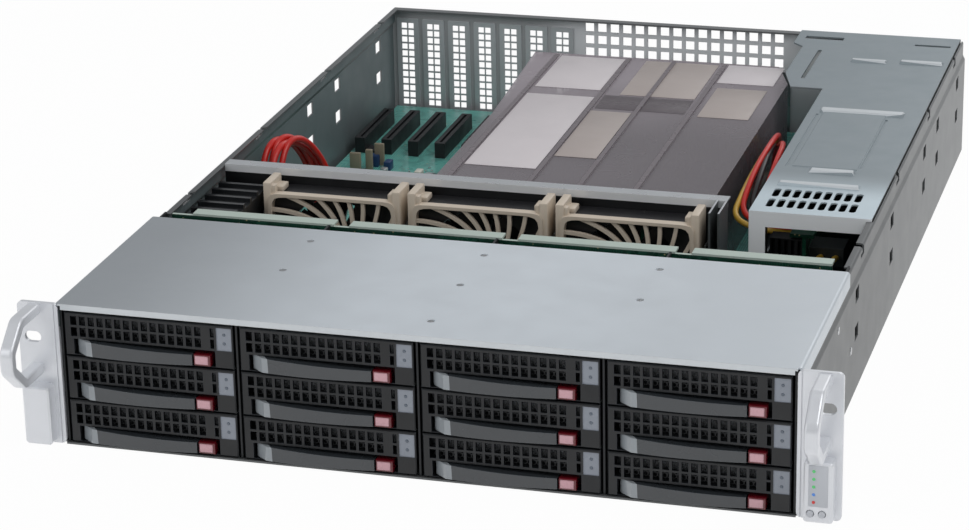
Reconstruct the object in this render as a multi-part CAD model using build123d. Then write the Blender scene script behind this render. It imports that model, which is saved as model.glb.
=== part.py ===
from build123d import *
import math
import os

# Rackmount server chassis, two rack units high, with twelve front drive carriers, three fans,
# a ducted motherboard and two rear power modules. The lid over the rear part is off.
# Millimetres. X runs to the right seen from the front, Y to the rear, Z up. The origin lies on the
# underside, midway across, in the plane where the rack ears seat on the rack posts.

# Sheet metal and clearances
SHEET = 1.2
BEND = 2.0
GAP = 0.3
EAR_T = 2.5
FRONT = -EAR_T

# Drives, their carriers and the cage
COLS = 4
ROWS = 3
DRIVE_W = 101.6
DRIVE_L = 147.0
DRIVE_H = 25.4
TRAY_SHEET = 0.8
TRAY_FIT = 0.15
TRAY_FLOOR = 0.6
RUN_GAP = 1.4
ROW_GAP = 0.8
BEZEL_D = 13.0
BEZEL_WALL = 2.0
BEZEL_SET = 1.0
DRIVE_SET = 3.0
CARRIER_W = DRIVE_W + 2 * (TRAY_SHEET + TRAY_FIT)
CARRIER_H = TRAY_FLOOR + GAP + DRIVE_H + GAP
COL_PITCH = CARRIER_W + 2 * RUN_GAP + SHEET
ROW_PITCH = CARRIER_H + ROW_GAP
CARRIER_Y = FRONT + BEZEL_SET
CAGE_HALF = (COLS * COL_PITCH + SHEET) / 2
RIB = 1.0
RIB_H = 1.2
RIB_Z = 12.0

# Grille, lever and release button of a carrier, measured from its lower left front corner
GRILLE_X = 4.0
GRILLE_PITCH = 5.45
GRILLE_COLS = 15
SLOT_W = 3.9
SLOT_H = 5.6
SLOT_RIB = 1.3
GRILLE_Z = 12.0
END_SLOT_X = 89.8
END_SLOT_W = 2.4
PAD_X = 93.6
PAD_W = 9.1
PAD_Z = 11.2
PAD_H = 13.8
PAD_DEEP = 0.5
POCKET_X = 5.5
POCKET_W = 87.0
POCKET_Z = 0.9
POCKET_H = 9.7
POCKET_D = 9.5
PIVOT_X = 9.7
PIVOT_Y = 5.2
PIN_R = 1.3
PIN_FIT = 0.05
BARREL_R = 3.6
LEVER_END = 78.8
LEVER_TIP_H = 6.6
LEVER_BOW = 4.2
LEVER_WALL = 1.6
BUTTON_X = 79.7
BUTTON_W = 10.2
BUTTON_H = 6.9
BUTTON_PROUD = 1.8
BUTTON_L = 8.8

# Case outline, built up from what it holds
CAGE_GAP = 0.5
CAGE_HEADROOM = 2.7
CASE_W = 2 * (CAGE_HALF + CAGE_GAP + SHEET + SHEET)
CARRIER_Z = SHEET + GAP
CAGE_TOP = CARRIER_Z + ROWS * ROW_PITCH - ROW_GAP + CAGE_HEADROOM
CASE_H = CAGE_TOP + 2 * SHEET
HALF_W = CASE_W / 2
WALL_IN = HALF_W - SHEET
JOGGLE = SHEET + GAP
BAND_H = 10.5
WALL_TOP = CASE_H - 3.5
LIP = 5.0
COVER_SET = 16.0
COVER_FLANGE = 9.5
COVER_LIP = 3.7
COVER_SCREW_X = (-0.245, 0.005, 0.25)
COVER_SCREW_Y = (0.534, 0.866)
COVER_FRONT_SCREW = (0.005, 0.151)
SCREW_R = 2.4
SCREW_DEEP = 0.6

# Side wall slots for the slide rails and hooks for the lid, along the depth as shares of it
RAIL_SLOTS = (0.278, 0.481, 0.696, 0.79, 0.94)
RAIL_SLOT_Z = (40.0, 64.0)
RAIL_SLOT_L = 12.0
RAIL_SLOT_H = 9.0
LID_HOOKS = (0.322, 0.532, 0.741, 0.933)
LID_HOOK_L = 6.0
LID_HOOK_H = 5.5

# Rack ears, handles and front panel
EAR_W = 22.8
EAR_SPAN = CASE_W + 2 * EAR_W
EAR_EDGE = 0.3
EAR_R = 3.0
EAR_LEG_D = 40.0
EAR_LEG_H = 62.0
RACK_SLOT_SET = 8.75
RACK_SLOT_Z = 66.3
RACK_SLOT_R = 3.4
RACK_SLOT_L = 10.3
HANDLE_X = EAR_SPAN / 2 - 10.3
HANDLE_W = 8.0
HANDLE_BAR = 6.5
HANDLE_REACH = 42.0
HANDLE_TOP = 87.0
HANDLE_LOW = 43.5
HANDLE_SLOPE = 17.0
HANDLE_R = 9.0
POD_SET = 3.0
POD_W = EAR_W - 2.1 * POD_SET
POD_X = HALF_W + POD_SET
POD_H = 36.0
POD_Z = 2.0
POD_D = 9.0
PANEL_BUTTON_R = 1.9
PANEL_BUTTON_Z = 7.5
PANEL_BUTTON_X = (POD_X + 0.24 * POD_W, POD_X + 0.64 * POD_W)
PANEL_BUTTON_L = 5.0
PANEL_BUTTON_PROUD = 1.2
PANEL_BUTTON_TRAVEL = 1.0

# Backplane, with a strip on its top edge over each column of carriers
BOARD_T = 2.4
BACKPLANE_SET = 7.0
BACKPLANE_W = COLS * COL_PITCH - 2 * BACKPLANE_SET
BACKPLANE_X = -3.0
BACKPLANE_Z = 6.0
BACKPLANE_H = 78.6
STRIP_D = 9.0
STRIP_H = 1.4
STRIP_SHIFT = 3.0
STRIP_GAP = 10.0
SOCKET_D = 4.2
SOCKET_W = 34.0
SOCKET_H = 6.0
VENT_W = 44.0
VENT_H = 7.0

# Fans and the wall behind them
FAN_COUNT = 3
FAN_PITCH = 97.0
FAN_X = -130.5
FAN_SET = 59.2
FAN_W = 86.0
FAN_FRAME_W = 81.0
FAN_T = 26.5
FAN_FACE_T = 6.0
FAN_TOP = 77.2
FAN_FRAME_TOP = 75.2
FAN_BORE_R = 34.5
FAN_Z = 39.5
FAN_CLIP_W = 5.4
FAN_CLIP_H = 7.0
FAN_CLIP_L = 26.0
GUARD_VANES = 27
GUARD_HUB_R = 13.0
GUARD_T = 2.2
GUARD_VANE_W = 1.7
BLADES = 7
ROTOR_HUB_R = 14.0
ROTOR_TIP_GAP = 1.2
ROTOR_L = 17.0
BLADE_T = 1.6
ROOT_CHORD = 15.0
TIP_CHORD = 21.0
ROOT_ANGLE = 52.0
TIP_ANGLE = 34.0
SHAFT_R = 1.5
SHAFT_FIT = 0.05
STATOR_T = 3.0
WALL_RAIL_D = 9.2
WALL_RAIL_H = 4.6
WALL_TOP_Z = 85.6
WALL_GAP = 16.6
BRACKET_W = 7.0
TUNNEL_W = 31.0
TUNNEL_T = 1.5
TUNNEL_FRONT = 5.2
TUNNEL_BACK = 5.8
TUNNEL_TOP = 74.0
TUNNEL_RIBS = 6

# Motherboard and what stands on it
STANDOFF_H = 6.5
STANDOFF_R = 3.2
MB_T = 1.8
MB_SIDE = 4.5
MB_BACK = 9.0
MB_GAP = 21.4
SLOT_COUNT = 7
SLOT_PITCH = 20.32
FIRST_SLOT = 12.0
SLOT_OPEN_W = 12.5
SLOT_OPEN_Z = 8.0
SLOT_OPEN_H = 66.0
SLOT_COVER_W = 17.2
SLOT_COVER_T = 1.0
SLOT_COVER_MARGIN = 6.0
COVER_HOLE_ROWS = 12
COVER_HOLE_COLS = 2
COVER_HOLE_PITCH = 5.3
COVER_HOLE = 4.3
EXP_SOCKET_L = 72.0
EXP_SOCKET_W = 7.6
EXP_SOCKET_H = 11.5
EXP_SOCKET_BACK = 52.0
IO_W = 158.75
IO_H = 44.45
IO_SET = 13.9
IO_Z = 6.6
IO_PLATE_T = 1.0
REAR_VENT_COLS = 16
REAR_VENT_ROWS = 3
REAR_VENT_PITCH = 9.6
REAR_VENT_ROW = 9.5
REAR_VENT_W = 6.6
REAR_VENT_H = 6.6
REAR_VENT_Z = 54.5
REAR_PORTS = ((10, 14, 14), (30, 16, 30), (54, 18, 14), (80, 18, 14), (108, 32, 12))
PORT_D = 22.0
PORT_WALL = 1.5
SINK_W = 86.0
SINK_BASE = 6.0
SINK_H = 52.0
SINK_FINS = 12
SINK_FIN_T = 1.4
DIMM_L = 133.35
DIMM_H = 31.0
DIMM_T = 4.0
DIMM_PITCH = 9.6
DIMM_COUNT = 6
DIMM_SOCKET_H = 9.0
DIMM_SOCKET_W = 6.4
BANK_FRONT = 6.0
BANK_GAP = 4.65
PORT_ROOM = 27.65
MB_D = BANK_FRONT + 2 * DIMM_L + BANK_GAP + PORT_ROOM

# Air shroud
SHROUD_T = 1.5
SHROUD_GAP = 32.3
SHROUD_TOP = 70.0
SHROUD_FLARE = 9.0
SHROUD_RIB = 1.2
SHROUD_RIBS = (0.05, 0.34, 0.52, 0.72)
SHROUD_ROOM = 43.0

# Power modules and their housing
PSU_W = 73.5
PSU_H = 39.5
PSU_L = 300.0
PSU_FIT = 0.35
PSU_HEADROOM = 2.5
MOUTH_D = 97.0
HOUSING_SET = 11.5
HOUSING_LIP = 9.0
HOUSING_RETURN = 10.4
GRID_COLS = 9
GRID_PITCH = 6.5
GRID_HOLE_W = 4.4
GRID_HOLE_L = 15.5
GRID_ROW = 19.5
GRID_SET = 17.5
PANEL_BEAD = 1.6
GROOVE_W = 1.8
SIDE_PLATE_D = 138.0
SIDE_PLATE_W = 32.0
SIDE_PLATE_TAIL = 32.0
SIDE_SLOT_L = 70.0
SIDE_SLOT_W = 3.0

# Pressings in the housing's top: place and width as shares of its width, place along it as a
# share of its length, and size along it
BEADS = (
    (-0.034, 0.527, 0.78, 9.0),
    (-0.012, 0.208, 0.40, 8.0),
    (-0.060, 0.138, 0.71, 7.0),
    (-0.239, 0.826, 0.35, 6.0),
    (0.264, 0.833, 0.42, 7.0),
)
PANEL_PRESSING = (-0.095, 0.372, 0.58, 116.0)
GROOVES = ((-0.43, 0.366, 112.0), (0.217, 0.366, 104.0))
TOP_SLOT = (0.286, 0.946, 0.35, 4.0)
HANDLE_STRAP = 2.5
STRAP_REACH = 24.0
STRAP_H = 30.0
STRAP_W = 10.0
INLET_W = 27.0
INLET_H = 20.0
INLET_D = 14.0
PSU_FAN_R = 16.5
PSU_FAN_D = 2.5
POWER_BOARD_H = 66.0
POWER_BOARD_SET = 30.0
POWER_PLUG_L = 14.0
FRONT_BOARD_W = 15.0
FRONT_BOARD_D = 14.0
COMB_W = 20.8
COMB_TEETH = 5

# Cables: red data cables and the power leads from the housing to the motherboard
DATA_R = 2.2
DATA_COUNT = 4
DATA_SET = 11.8
DATA_PITCH = 4.8
DATA_Z = 26.0
DATA_SHIFT = 15.5
DATA_REACH = 112.7
LEAD_R = 1.9
LEAD_COUNT = 4
LEAD_PITCH = 4.8
LEAD_SET = 27.3
LEAD_REACH = 238.5
LEAD_END_PITCH = 10.0
LEAD_Z = 50.0
WINDOW_SET = 62.0
WINDOW_PITCH = 6.0
FRONT_LEAD_COUNT = 2
PLUG_H = 12.0
BEND_SHARE = 0.45


def block(x, y, z):
    """A rectangular solid between three pairs of limits."""
    return Pos(x[0], y[0], z[0]) * Box(x[1] - x[0], y[1] - y[0], z[1] - z[0], align=(Align.MIN,) * 3)


def along_y(face, y0, y1):
    """Extrude a face drawn in X and Z between two depths."""
    plane = Plane(origin=(0, y1, 0), x_dir=(1, 0, 0), z_dir=(0, -1, 0))
    return extrude(plane * face, amount=y1 - y0)


def along_x(face, x0, x1):
    """Extrude a face drawn in Y and Z between two places across the width."""
    plane = Plane(origin=(x0, 0, 0), x_dir=(0, 1, 0), z_dir=(1, 0, 0))
    return extrude(plane * face, amount=x1 - x0)


def upright(face, z0, z1):
    """Extrude a face drawn in X and Y between two heights."""
    return extrude(Plane(origin=(0, 0, z0)) * face, amount=z1 - z0)


def centred(x, z, width, height, radius=0.0):
    """A rectangle in a face's own plane, with rounded corners if a radius is given."""
    shape = RectangleRounded(width, height, radius) if radius else Rectangle(width, height)
    return Pos(x, z) * shape


def rod_y(x, z, radius, y0, y1):
    """A round bar along the depth."""
    return along_y(Pos(x, z) * Circle(radius), y0, y1)


def rod_z(x, y, radius, z0, z1):
    """A round upright bar."""
    return upright(Pos(x, y) * Circle(radius), z0, z1)


def folded(points):
    """Cross-section of a folded sheet whose outer skin runs through the points."""
    skin = FilletPolyline(*points, radius=BEND)
    return make_face(offset(skin, SHEET, side=Side.LEFT, closed=True))


def save(node, *solids):
    """Write one node, as one solid or as a group of separate solids."""
    found = [solid for piece in solids for solid in piece.solids()]
    shape = found[0] if len(found) == 1 else Compound(found)
    shape.label = node
    export_step(shape, f"parts/{node}.step")


def mirrored(shape):
    """The same piece on the other side of the case."""
    return mirror(shape, about=Plane.YZ)


def column_x(column):
    """Left edge of a column of carriers."""
    return -COLS * COL_PITCH / 2 + column * COL_PITCH + SHEET / 2 + RUN_GAP


def row_z(row):
    """Underside of a row of carriers, counted from the top."""
    return CARRIER_Z + (ROWS - 1 - row) * ROW_PITCH


def slot_x(index):
    """Middle of an expansion slot, counted from the left wall."""
    return -WALL_IN + FIRST_SLOT + index * SLOT_PITCH


def fan_x(index):
    """Middle of a fan, counted from the left."""
    return FAN_X + index * FAN_PITCH


# Places that several pieces share
TRAY_END = CARRIER_Y + BEZEL_D + DRIVE_SET + DRIVE_L
BACKPLANE_Y = TRAY_END + GAP + SOCKET_D
COVER_REAR = BACKPLANE_Y - COVER_SET
PLUG_BACK = BACKPLANE_Y + BOARD_T + 2 * SOCKET_D
FAN_FRONT = PLUG_BACK + FAN_SET
FAN_BACK = FAN_FRONT + FAN_T
WALL_Y = FAN_BACK + GAP
HOUSING_FRONT = FAN_FRONT + HOUSING_SET
PSU_FRONT = HOUSING_FRONT + MOUTH_D
REAR = PSU_FRONT + PSU_L
REAR_IN = REAR - SHEET
CASE_D = REAR - FRONT
BAY_LEFT = HALF_W - JOGGLE - SHEET - 2 * GAP - SHEET - 2 * PSU_FIT - PSU_W
BAY_RIGHT = BAY_LEFT + PSU_W + 2 * PSU_FIT
PSU_LOW = SHEET + GAP
SHELF_Z = PSU_LOW + PSU_H + GAP
PSU_HIGH = SHELF_Z + SHEET + GAP
HOUSING_TOP = PSU_HIGH + PSU_H + PSU_HEADROOM
WALL_LEFT = -(HALF_W - JOGGLE - LIP - GAP)
WALL_RIGHT = BAY_LEFT - SHEET - WALL_GAP
MB_Z = SHEET + STANDOFF_H
MB_TOP = MB_Z + MB_T
MB_X = -WALL_IN + MB_SIDE
MB_W = BAY_LEFT - SHEET - MB_GAP - MB_X
MB_REAR = REAR_IN - MB_BACK
MB_FRONT = MB_REAR - MB_D
SHROUD_LEFT = MB_X + 128.8
SHROUD_RIGHT = MB_X + MB_W - 13.2
POWER_BOARD_X = BAY_LEFT + POWER_BOARD_SET
FRONT_LEAD_X = POWER_BOARD_X + 10
LEAD_START_Y = HOUSING_FRONT + WINDOW_SET
LEAD_LEFT = BAY_LEFT - LEAD_SET
LEAD_END_X = LEAD_LEFT - LEAD_R + GAP
LEAD_END_Y = WALL_Y + LEAD_REACH
DATA_X = -WALL_IN + DATA_SET
DATA_END_X = DATA_X + DATA_SHIFT
DATA_END_Y = WALL_Y + DATA_REACH
IO_X = -WALL_IN + FIRST_SLOT + (SLOT_COUNT - 1) * SLOT_PITCH + IO_SET


def base_pan():
    """Floor, side walls with a joggled upper band, and rear wall, folded from one sheet."""
    band_x = HALF_W - JOGGLE
    band_z = WALL_TOP - BAND_H
    right = [
        (HALF_W, 0),
        (HALF_W, band_z - 2 * JOGGLE),
        (band_x, band_z),
        (band_x, WALL_TOP),
        (band_x - LIP, WALL_TOP),
    ]
    left = [(-x, z) for x, z in reversed(right)]
    pan = along_y(folded(left + right), FRONT, REAR)
    wall = block((-WALL_IN, WALL_IN), (REAR_IN, REAR), (SHEET / 2, band_z - JOGGLE))
    upper = block((-band_x + SHEET / 2, band_x - SHEET / 2), (REAR_IN, REAR), (SHEET / 2, WALL_TOP - SHEET))
    fold = block((-band_x + LIP, BAY_LEFT - SHEET), (REAR_IN - LIP, REAR), (WALL_TOP - SHEET, WALL_TOP))
    pan = pan + [wall, upper, fold] + standoffs()
    cuts = [rear_cuts(), side_cuts()]
    for side in (-1, 1):
        inner = side * (HALF_W - 2 * SHEET - GAP / 2)
        outer = side * (HALF_W + 1)
        corner = (min(inner, outer), max(inner, outer))
        cuts.append(block(corner, (FRONT - 1, 0), (-1, CASE_H)))
        lip = (min(side * (band_x - SHEET), 0), max(side * (band_x - SHEET), 0))
        cuts.append(block(lip, (FRONT - 1, BACKPLANE_Y + GAP), (WALL_TOP - SHEET - 1, CASE_H)))
    beside = (HOUSING_FRONT - GAP, REAR + 1)
    cuts.append(block((BAY_LEFT - SHEET, band_x - SHEET), beside, (WALL_TOP - SHEET - 1, CASE_H)))
    return pan - cuts


def standoffs():
    """Hexagonal posts under the motherboard."""
    columns = [MB_X + 10 + i * (MB_W - 20) / 2 for i in range(3)]
    rows = [MB_FRONT + 10 + i * (MB_D - 20) / 2 for i in range(3)]
    posts = [Pos(x, y) * RegularPolygon(STANDOFF_R, 6) for x in columns for y in rows]
    return [upright(post, SHEET / 2, MB_Z) for post in posts]


def rear_cuts():
    """Openings of the rear wall: expansion slots, connector window, air holes and power bays."""
    slot_z = SLOT_OPEN_Z + SLOT_OPEN_H / 2
    holes = [centred(slot_x(i), slot_z, SLOT_OPEN_W, SLOT_OPEN_H) for i in range(SLOT_COUNT)]
    holes.append(centred(IO_X + IO_W / 2, IO_Z + IO_H / 2, IO_W, IO_H))
    for column in range(REAR_VENT_COLS):
        for row in range(REAR_VENT_ROWS):
            x = IO_X + REAR_VENT_PITCH * (column + 0.75)
            z = REAR_VENT_Z + REAR_VENT_ROW * (row + 0.5)
            holes.append(centred(x, z, REAR_VENT_W, REAR_VENT_H))
    for low in (PSU_LOW, PSU_HIGH):
        middle = (BAY_LEFT + BAY_RIGHT) / 2
        holes.append(centred(middle, low + PSU_H / 2, PSU_W + 2 * PSU_FIT, PSU_H + 2 * GAP - 0.1))
    return along_y(Sketch() + holes, REAR_IN - 1, REAR + 1)


def side_cuts():
    """Slots of both side walls: pairs for the slide rails and open hooks for the lid."""
    holes = []
    for share in RAIL_SLOTS:
        for z in RAIL_SLOT_Z:
            holes.append(centred(FRONT + share * CASE_D, z, RAIL_SLOT_L, RAIL_SLOT_H))
    for share in LID_HOOKS:
        y = FRONT + share * CASE_D
        top = WALL_TOP + 1 - LID_HOOK_H / 2
        holes.append(centred(y, top, LID_HOOK_L, LID_HOOK_H))
        foot = WALL_TOP + 1 - LID_HOOK_H
        holes.append(centred(y - LID_HOOK_L / 2, foot, 2 * LID_HOOK_L, LID_HOOK_H / 2))
    return along_x(Sketch() + holes, -HALF_W - 1, HALF_W + 1)


def slot_cover(index):
    """One ventilated blanking plate, flat against the inside of the rear wall."""
    z0 = SLOT_OPEN_Z - SLOT_COVER_MARGIN / 2
    height = SLOT_OPEN_H + SLOT_COVER_MARGIN
    plate = centred(slot_x(index), z0 + height / 2, SLOT_COVER_W, height, 1.0)
    pitch = SLOT_OPEN_H / COVER_HOLE_ROWS
    holes = []
    for row in range(COVER_HOLE_ROWS):
        z = SLOT_OPEN_Z + pitch * (row + 0.5)
        for column in range(COVER_HOLE_COLS):
            x = slot_x(index) + (column - (COVER_HOLE_COLS - 1) / 2) * COVER_HOLE_PITCH
            holes.append(centred(x, z, COVER_HOLE, COVER_HOLE))
    return along_y(plate - holes, REAR_IN - SLOT_COVER_T, REAR_IN)


def front_cover():
    """Fixed top sheet over the drives, with side flanges, a narrow front lip and screw seats."""
    points = [
        (HALF_W, CASE_H - COVER_FLANGE),
        (HALF_W, CASE_H),
        (-HALF_W, CASE_H),
        (-HALF_W, CASE_H - COVER_FLANGE),
    ]
    cover = along_y(folded(points), FRONT, COVER_REAR)
    lip_x = CAGE_HALF - SHEET
    lip = block((-lip_x, lip_x), (FRONT, FRONT + SHEET), (CASE_H - COVER_LIP, CASE_H - SHEET / 2))
    inner = HALF_W - 2 * SHEET - GAP / 2
    corner = block((inner, HALF_W + 1), (FRONT - 1, GAP / 3), (0, CASE_H + 1))
    places = [COVER_FRONT_SCREW] + [(x, y) for x in COVER_SCREW_X for y in COVER_SCREW_Y]
    seats = []
    for x, y in places:
        y = FRONT + y * (COVER_REAR - FRONT)
        seats.append(rod_z(x * CASE_W, y, SCREW_R, CASE_H - SCREW_DEEP, CASE_H + 1))
    return cover + lip - [corner, mirrored(corner)] - seats


def drive_cage():
    """Upright sheets between the carrier columns, with runners, under one top plate."""
    y0 = FRONT + 2 * BEZEL_SET
    sheets = []
    for i in range(COLS + 1):
        x = -COLS * COL_PITCH / 2 + i * COL_PITCH
        sheets.append(block((x - SHEET / 2, x + SHEET / 2), (y0, BACKPLANE_Y), (SHEET, CAGE_TOP)))
        runners = []
        if i > 0:
            runners.append((x - SHEET / 2 - RIB, x))
        if i < COLS:
            runners.append((x, x + SHEET / 2 + RIB))
        for row in range(ROWS):
            top = row_z(row) + RIB_Z - GAP
            for limits in runners:
                run = (CARRIER_Y + BEZEL_D + DRIVE_SET, BACKPLANE_Y - SOCKET_D)
                sheets.append(block(limits, run, (top - RIB_H, top)))
    top_y = (FRONT + SHEET, COVER_REAR - DRIVE_SET)
    return block((-CAGE_HALF, CAGE_HALF), top_y, (CAGE_TOP, CAGE_TOP + SHEET)) + sheets


def bezel():
    """Front of a carrier: grille, light pad recess, lever pocket and the lever's pin."""
    body = block((0, CARRIER_W), (0, BEZEL_D), (0, CARRIER_H))
    body = chamfer(body.faces().sort_by(Axis.Y)[0].edges(), BEZEL_SET * 0.8)
    roof = POCKET_Z + POCKET_H
    hollow = block((BEZEL_WALL, PAD_X), (BEZEL_WALL, BEZEL_D), (roof + SHEET, CARRIER_H - SHEET))
    pocket = block((POCKET_X, POCKET_X + POCKET_W), (-1, POCKET_D), (POCKET_Z, roof))
    pad = block((PAD_X, PAD_X + PAD_W), (-1, PAD_DEEP), (PAD_Z, PAD_Z + PAD_H))
    slots = []
    for row in range(2):
        z = GRILLE_Z + SLOT_H / 2 + row * (SLOT_H + SLOT_RIB)
        for column in range(GRILLE_COLS):
            slots.append(centred(GRILLE_X + SLOT_W / 2 + column * GRILLE_PITCH, z, SLOT_W, SLOT_H))
        slots.append(centred(END_SLOT_X + END_SLOT_W / 2, z, END_SLOT_W, SLOT_H))
    grille = along_y(Sketch() + slots, -1, BEZEL_WALL + 1)
    pin = rod_z(PIVOT_X, PIVOT_Y, PIN_R, POCKET_Z / 2, roof + SHEET / 2)
    return body - [hollow, pocket, pad, grille] + pin


def tray():
    """A carrier without its lever and button: bezel, side rails with ribs, and floor straps."""
    length = BEZEL_D + DRIVE_SET + DRIVE_L
    solid = bezel()
    for x0, rib_x in ((0, -RIB), (CARRIER_W - TRAY_SHEET, CARRIER_W)):
        rail = block((x0, x0 + TRAY_SHEET), (BEZEL_D - 1, length), (0, 0.8 * CARRIER_H))
        rib = block((rib_x, rib_x + RIB), (BEZEL_D + DRIVE_SET, length), (RIB_Z, RIB_Z + RIB_H))
        solid = solid + rail + rib
    for y in (BEZEL_D + DRIVE_SET, length - 2 * BEZEL_D):
        solid = solid + block((0, CARRIER_W), (y, y + BEZEL_D), (0, TRAY_FLOOR))
    return solid


def drive():
    """A plain hard disk drive: cast body with a raised lid."""
    x0 = TRAY_SHEET + TRAY_FIT
    y0 = BEZEL_D + DRIVE_SET
    z0 = TRAY_FLOOR + GAP
    body = block((x0, x0 + DRIVE_W), (y0, y0 + DRIVE_L), (z0, z0 + DRIVE_H - TRAY_SHEET))
    plan = Pos(x0 + DRIVE_W / 2, y0 + DRIVE_L / 2) * RectangleRounded(DRIVE_W - 6, DRIVE_L - 8, 8)
    return body + upright(plan, z0 + DRIVE_H - 2 * TRAY_SHEET, z0 + DRIVE_H)


def lever():
    """The bowed ejector lever, in its pocket: front outline crossed with its plan."""
    low = POCKET_Z + GAP
    high = POCKET_Z + POCKET_H - GAP
    tip = low + LEVER_TIP_H
    left = PIVOT_X - BARREL_R
    foot = Polyline((left, high), (left, low), (LEVER_END, low), (LEVER_END, tip))
    brow = ThreePointArc((LEVER_END, tip), (0.6 * LEVER_END, tip + 0.9), (left, high))
    front = along_y(make_face(foot + brow), -LEVER_BOW - 1, PIVOT_Y + BARREL_R + 1)
    heel = (PIVOT_X - 0.6 * BARREL_R, PIVOT_Y - 0.8 * BARREL_R)
    shoulder = (PIVOT_X + 1.2 * BARREL_R, -0.6 * LEVER_BOW)
    back = PIVOT_Y + BARREL_R
    rim = Polyline((PIVOT_X, PIVOT_Y), heel, shoulder)
    bow = ThreePointArc(shoulder, (0.56 * LEVER_END, -LEVER_BOW), (LEVER_END, -0.4 * LEVER_BOW))
    rest = Polyline((LEVER_END, -0.4 * LEVER_BOW), (LEVER_END, back - 2), (PIVOT_X, back), (PIVOT_X, PIVOT_Y))
    plan = make_face(rim + bow + rest) + Pos(PIVOT_X, PIVOT_Y) * Circle(BARREL_R)
    hollow = block(
        (PIVOT_X + 2 * BARREL_R, LEVER_END - 2 * LEVER_WALL),
        (-0.4 * LEVER_BOW + LEVER_WALL, back + 1),
        (low + LEVER_WALL, tip - LEVER_WALL),
    )
    body = front & upright(plan, low, high)
    return body - [hollow, rod_z(PIVOT_X, PIVOT_Y, PIN_R + PIN_FIT, 0, CARRIER_H)]


def release_button():
    """The carrier's release button, which is pushed straight in."""
    low = POCKET_Z + GAP
    x = (BUTTON_X, BUTTON_X + BUTTON_W)
    cap = block(x, (-BUTTON_PROUD, BUTTON_L - BUTTON_PROUD), (low, low + BUTTON_H))
    return fillet(cap.faces().sort_by(Axis.Y)[0].edges(), 1.0)


def rack_ear():
    """Right ear: angle bracket with a rack slot, and its lower pod."""
    inner = HALF_W - 2 * SHEET
    outer = EAR_SPAN / 2
    height = CASE_H - 2 * EAR_EDGE
    flange = centred((inner + outer) / 2, CASE_H / 2, outer - inner, height, EAR_R)
    slot = Pos(outer - RACK_SLOT_SET, RACK_SLOT_Z) * SlotOverall(RACK_SLOT_L, 2 * RACK_SLOT_R)
    plate = along_y(flange - slot, FRONT, 0)
    leg_z = (CASE_H - EAR_LEG_H) / 2 - BAND_H / 2
    leg = block((inner, inner + SHEET), (FRONT / 2, EAR_LEG_D), (leg_z, leg_z + EAR_LEG_H))
    groove = block((HALF_W - GAP, HALF_W + GAP), (FRONT - 1, FRONT + 2 * GAP), (-1, CASE_H + 1))
    return plate + leg - groove


def ear_pod():
    """Raised moulding on the lower half of an ear."""
    face = centred(POD_X + POD_W / 2, POD_Z + POD_H / 2, POD_W, POD_H, 2.0)
    pod = along_y(face, FRONT - POD_D, FRONT)
    return chamfer(pod.faces().sort_by(Axis.Y)[0].edges(), 1.0)


def ear_handle():
    """Forward bow of an ear, drawn from the side and rounded along its edges."""
    reach = FRONT - HANDLE_REACH
    knee = reach + HANDLE_SLOPE
    outline = [
        (FRONT, HANDLE_TOP),
        (knee, HANDLE_TOP),
        (reach, HANDLE_TOP - HANDLE_SLOPE + 2),
        (reach, HANDLE_LOW + HANDLE_SLOPE - 2),
        (knee, HANDLE_LOW),
        (FRONT, HANDLE_LOW),
    ]
    skin = FilletPolyline(*outline, radius=HANDLE_R)
    shape = make_face(offset(skin, HANDLE_BAR, side=Side.LEFT, closed=True))
    bow = along_x(shape, HANDLE_X - HANDLE_W / 2, HANDLE_X + HANDLE_W / 2)
    sides = [f for f in bow.faces() if abs(f.normal_at().X) > 0.9]
    edges = [e for f in sides for e in f.edges() if abs(e.center().Y - FRONT) > 0.1]
    return fillet(edges, 1.6)


def control_pod():
    """The right ear's pod, bored for its two buttons."""
    depth = PANEL_BUTTON_L - PANEL_BUTTON_PROUD + PANEL_BUTTON_TRAVEL + GAP
    face = FRONT - POD_D
    bores = [
        rod_y(x, PANEL_BUTTON_Z, PANEL_BUTTON_R + GAP, face - 1, face + depth)
        for x in PANEL_BUTTON_X
    ]
    return ear_pod() - bores


def panel_button(x):
    """A round push button of the front panel."""
    face = FRONT - POD_D - PANEL_BUTTON_PROUD
    cap = rod_y(x, PANEL_BUTTON_Z, PANEL_BUTTON_R, face, face + PANEL_BUTTON_L)
    return chamfer(cap.faces().sort_by(Axis.Y)[0].edges(), 0.4)


def backplane():
    """Circuit board behind the carriers, with one socket for each drive and plugs at its back."""
    x0 = BACKPLANE_X - BACKPLANE_W / 2
    face = centred(BACKPLANE_X, BACKPLANE_Z + BACKPLANE_H / 2, BACKPLANE_W, BACKPLANE_H)
    sockets = []
    for column in range(COLS):
        middle = column_x(column) + CARRIER_W / 2
        for row in range(ROWS):
            z = row_z(row) + SOCKET_H
            face = face - centred(middle + 20, z + SOCKET_H + VENT_H, VENT_W, VENT_H)
            low = middle - SOCKET_W
            sockets.append(block((low, middle), (BACKPLANE_Y - SOCKET_D, BACKPLANE_Y), (z, z + SOCKET_H)))
    board = along_y(face, BACKPLANE_Y, BACKPLANE_Y + BOARD_T)
    back = BACKPLANE_Y + BOARD_T
    plugs = []
    for i in range(3):
        x = x0 + 50 + i * 120
        plugs.append(block((x, x + 22), (back, PLUG_BACK), (22, 22 + PLUG_H)))
    data = (DATA_X - 4, DATA_X + (DATA_COUNT - 1) * DATA_PITCH + 4)
    plugs.append(block(data, (back, PLUG_BACK), (DATA_Z - 4, DATA_Z + 4)))
    front = (FRONT_LEAD_X - 4, FRONT_LEAD_X + 2 * LEAD_PITCH + 3)
    plugs.append(block(front, (back, PLUG_BACK), (DATA_Z - 4, DATA_Z + PLUG_H - 4)))
    return [board] + sockets + plugs + strips(x0)


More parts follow.
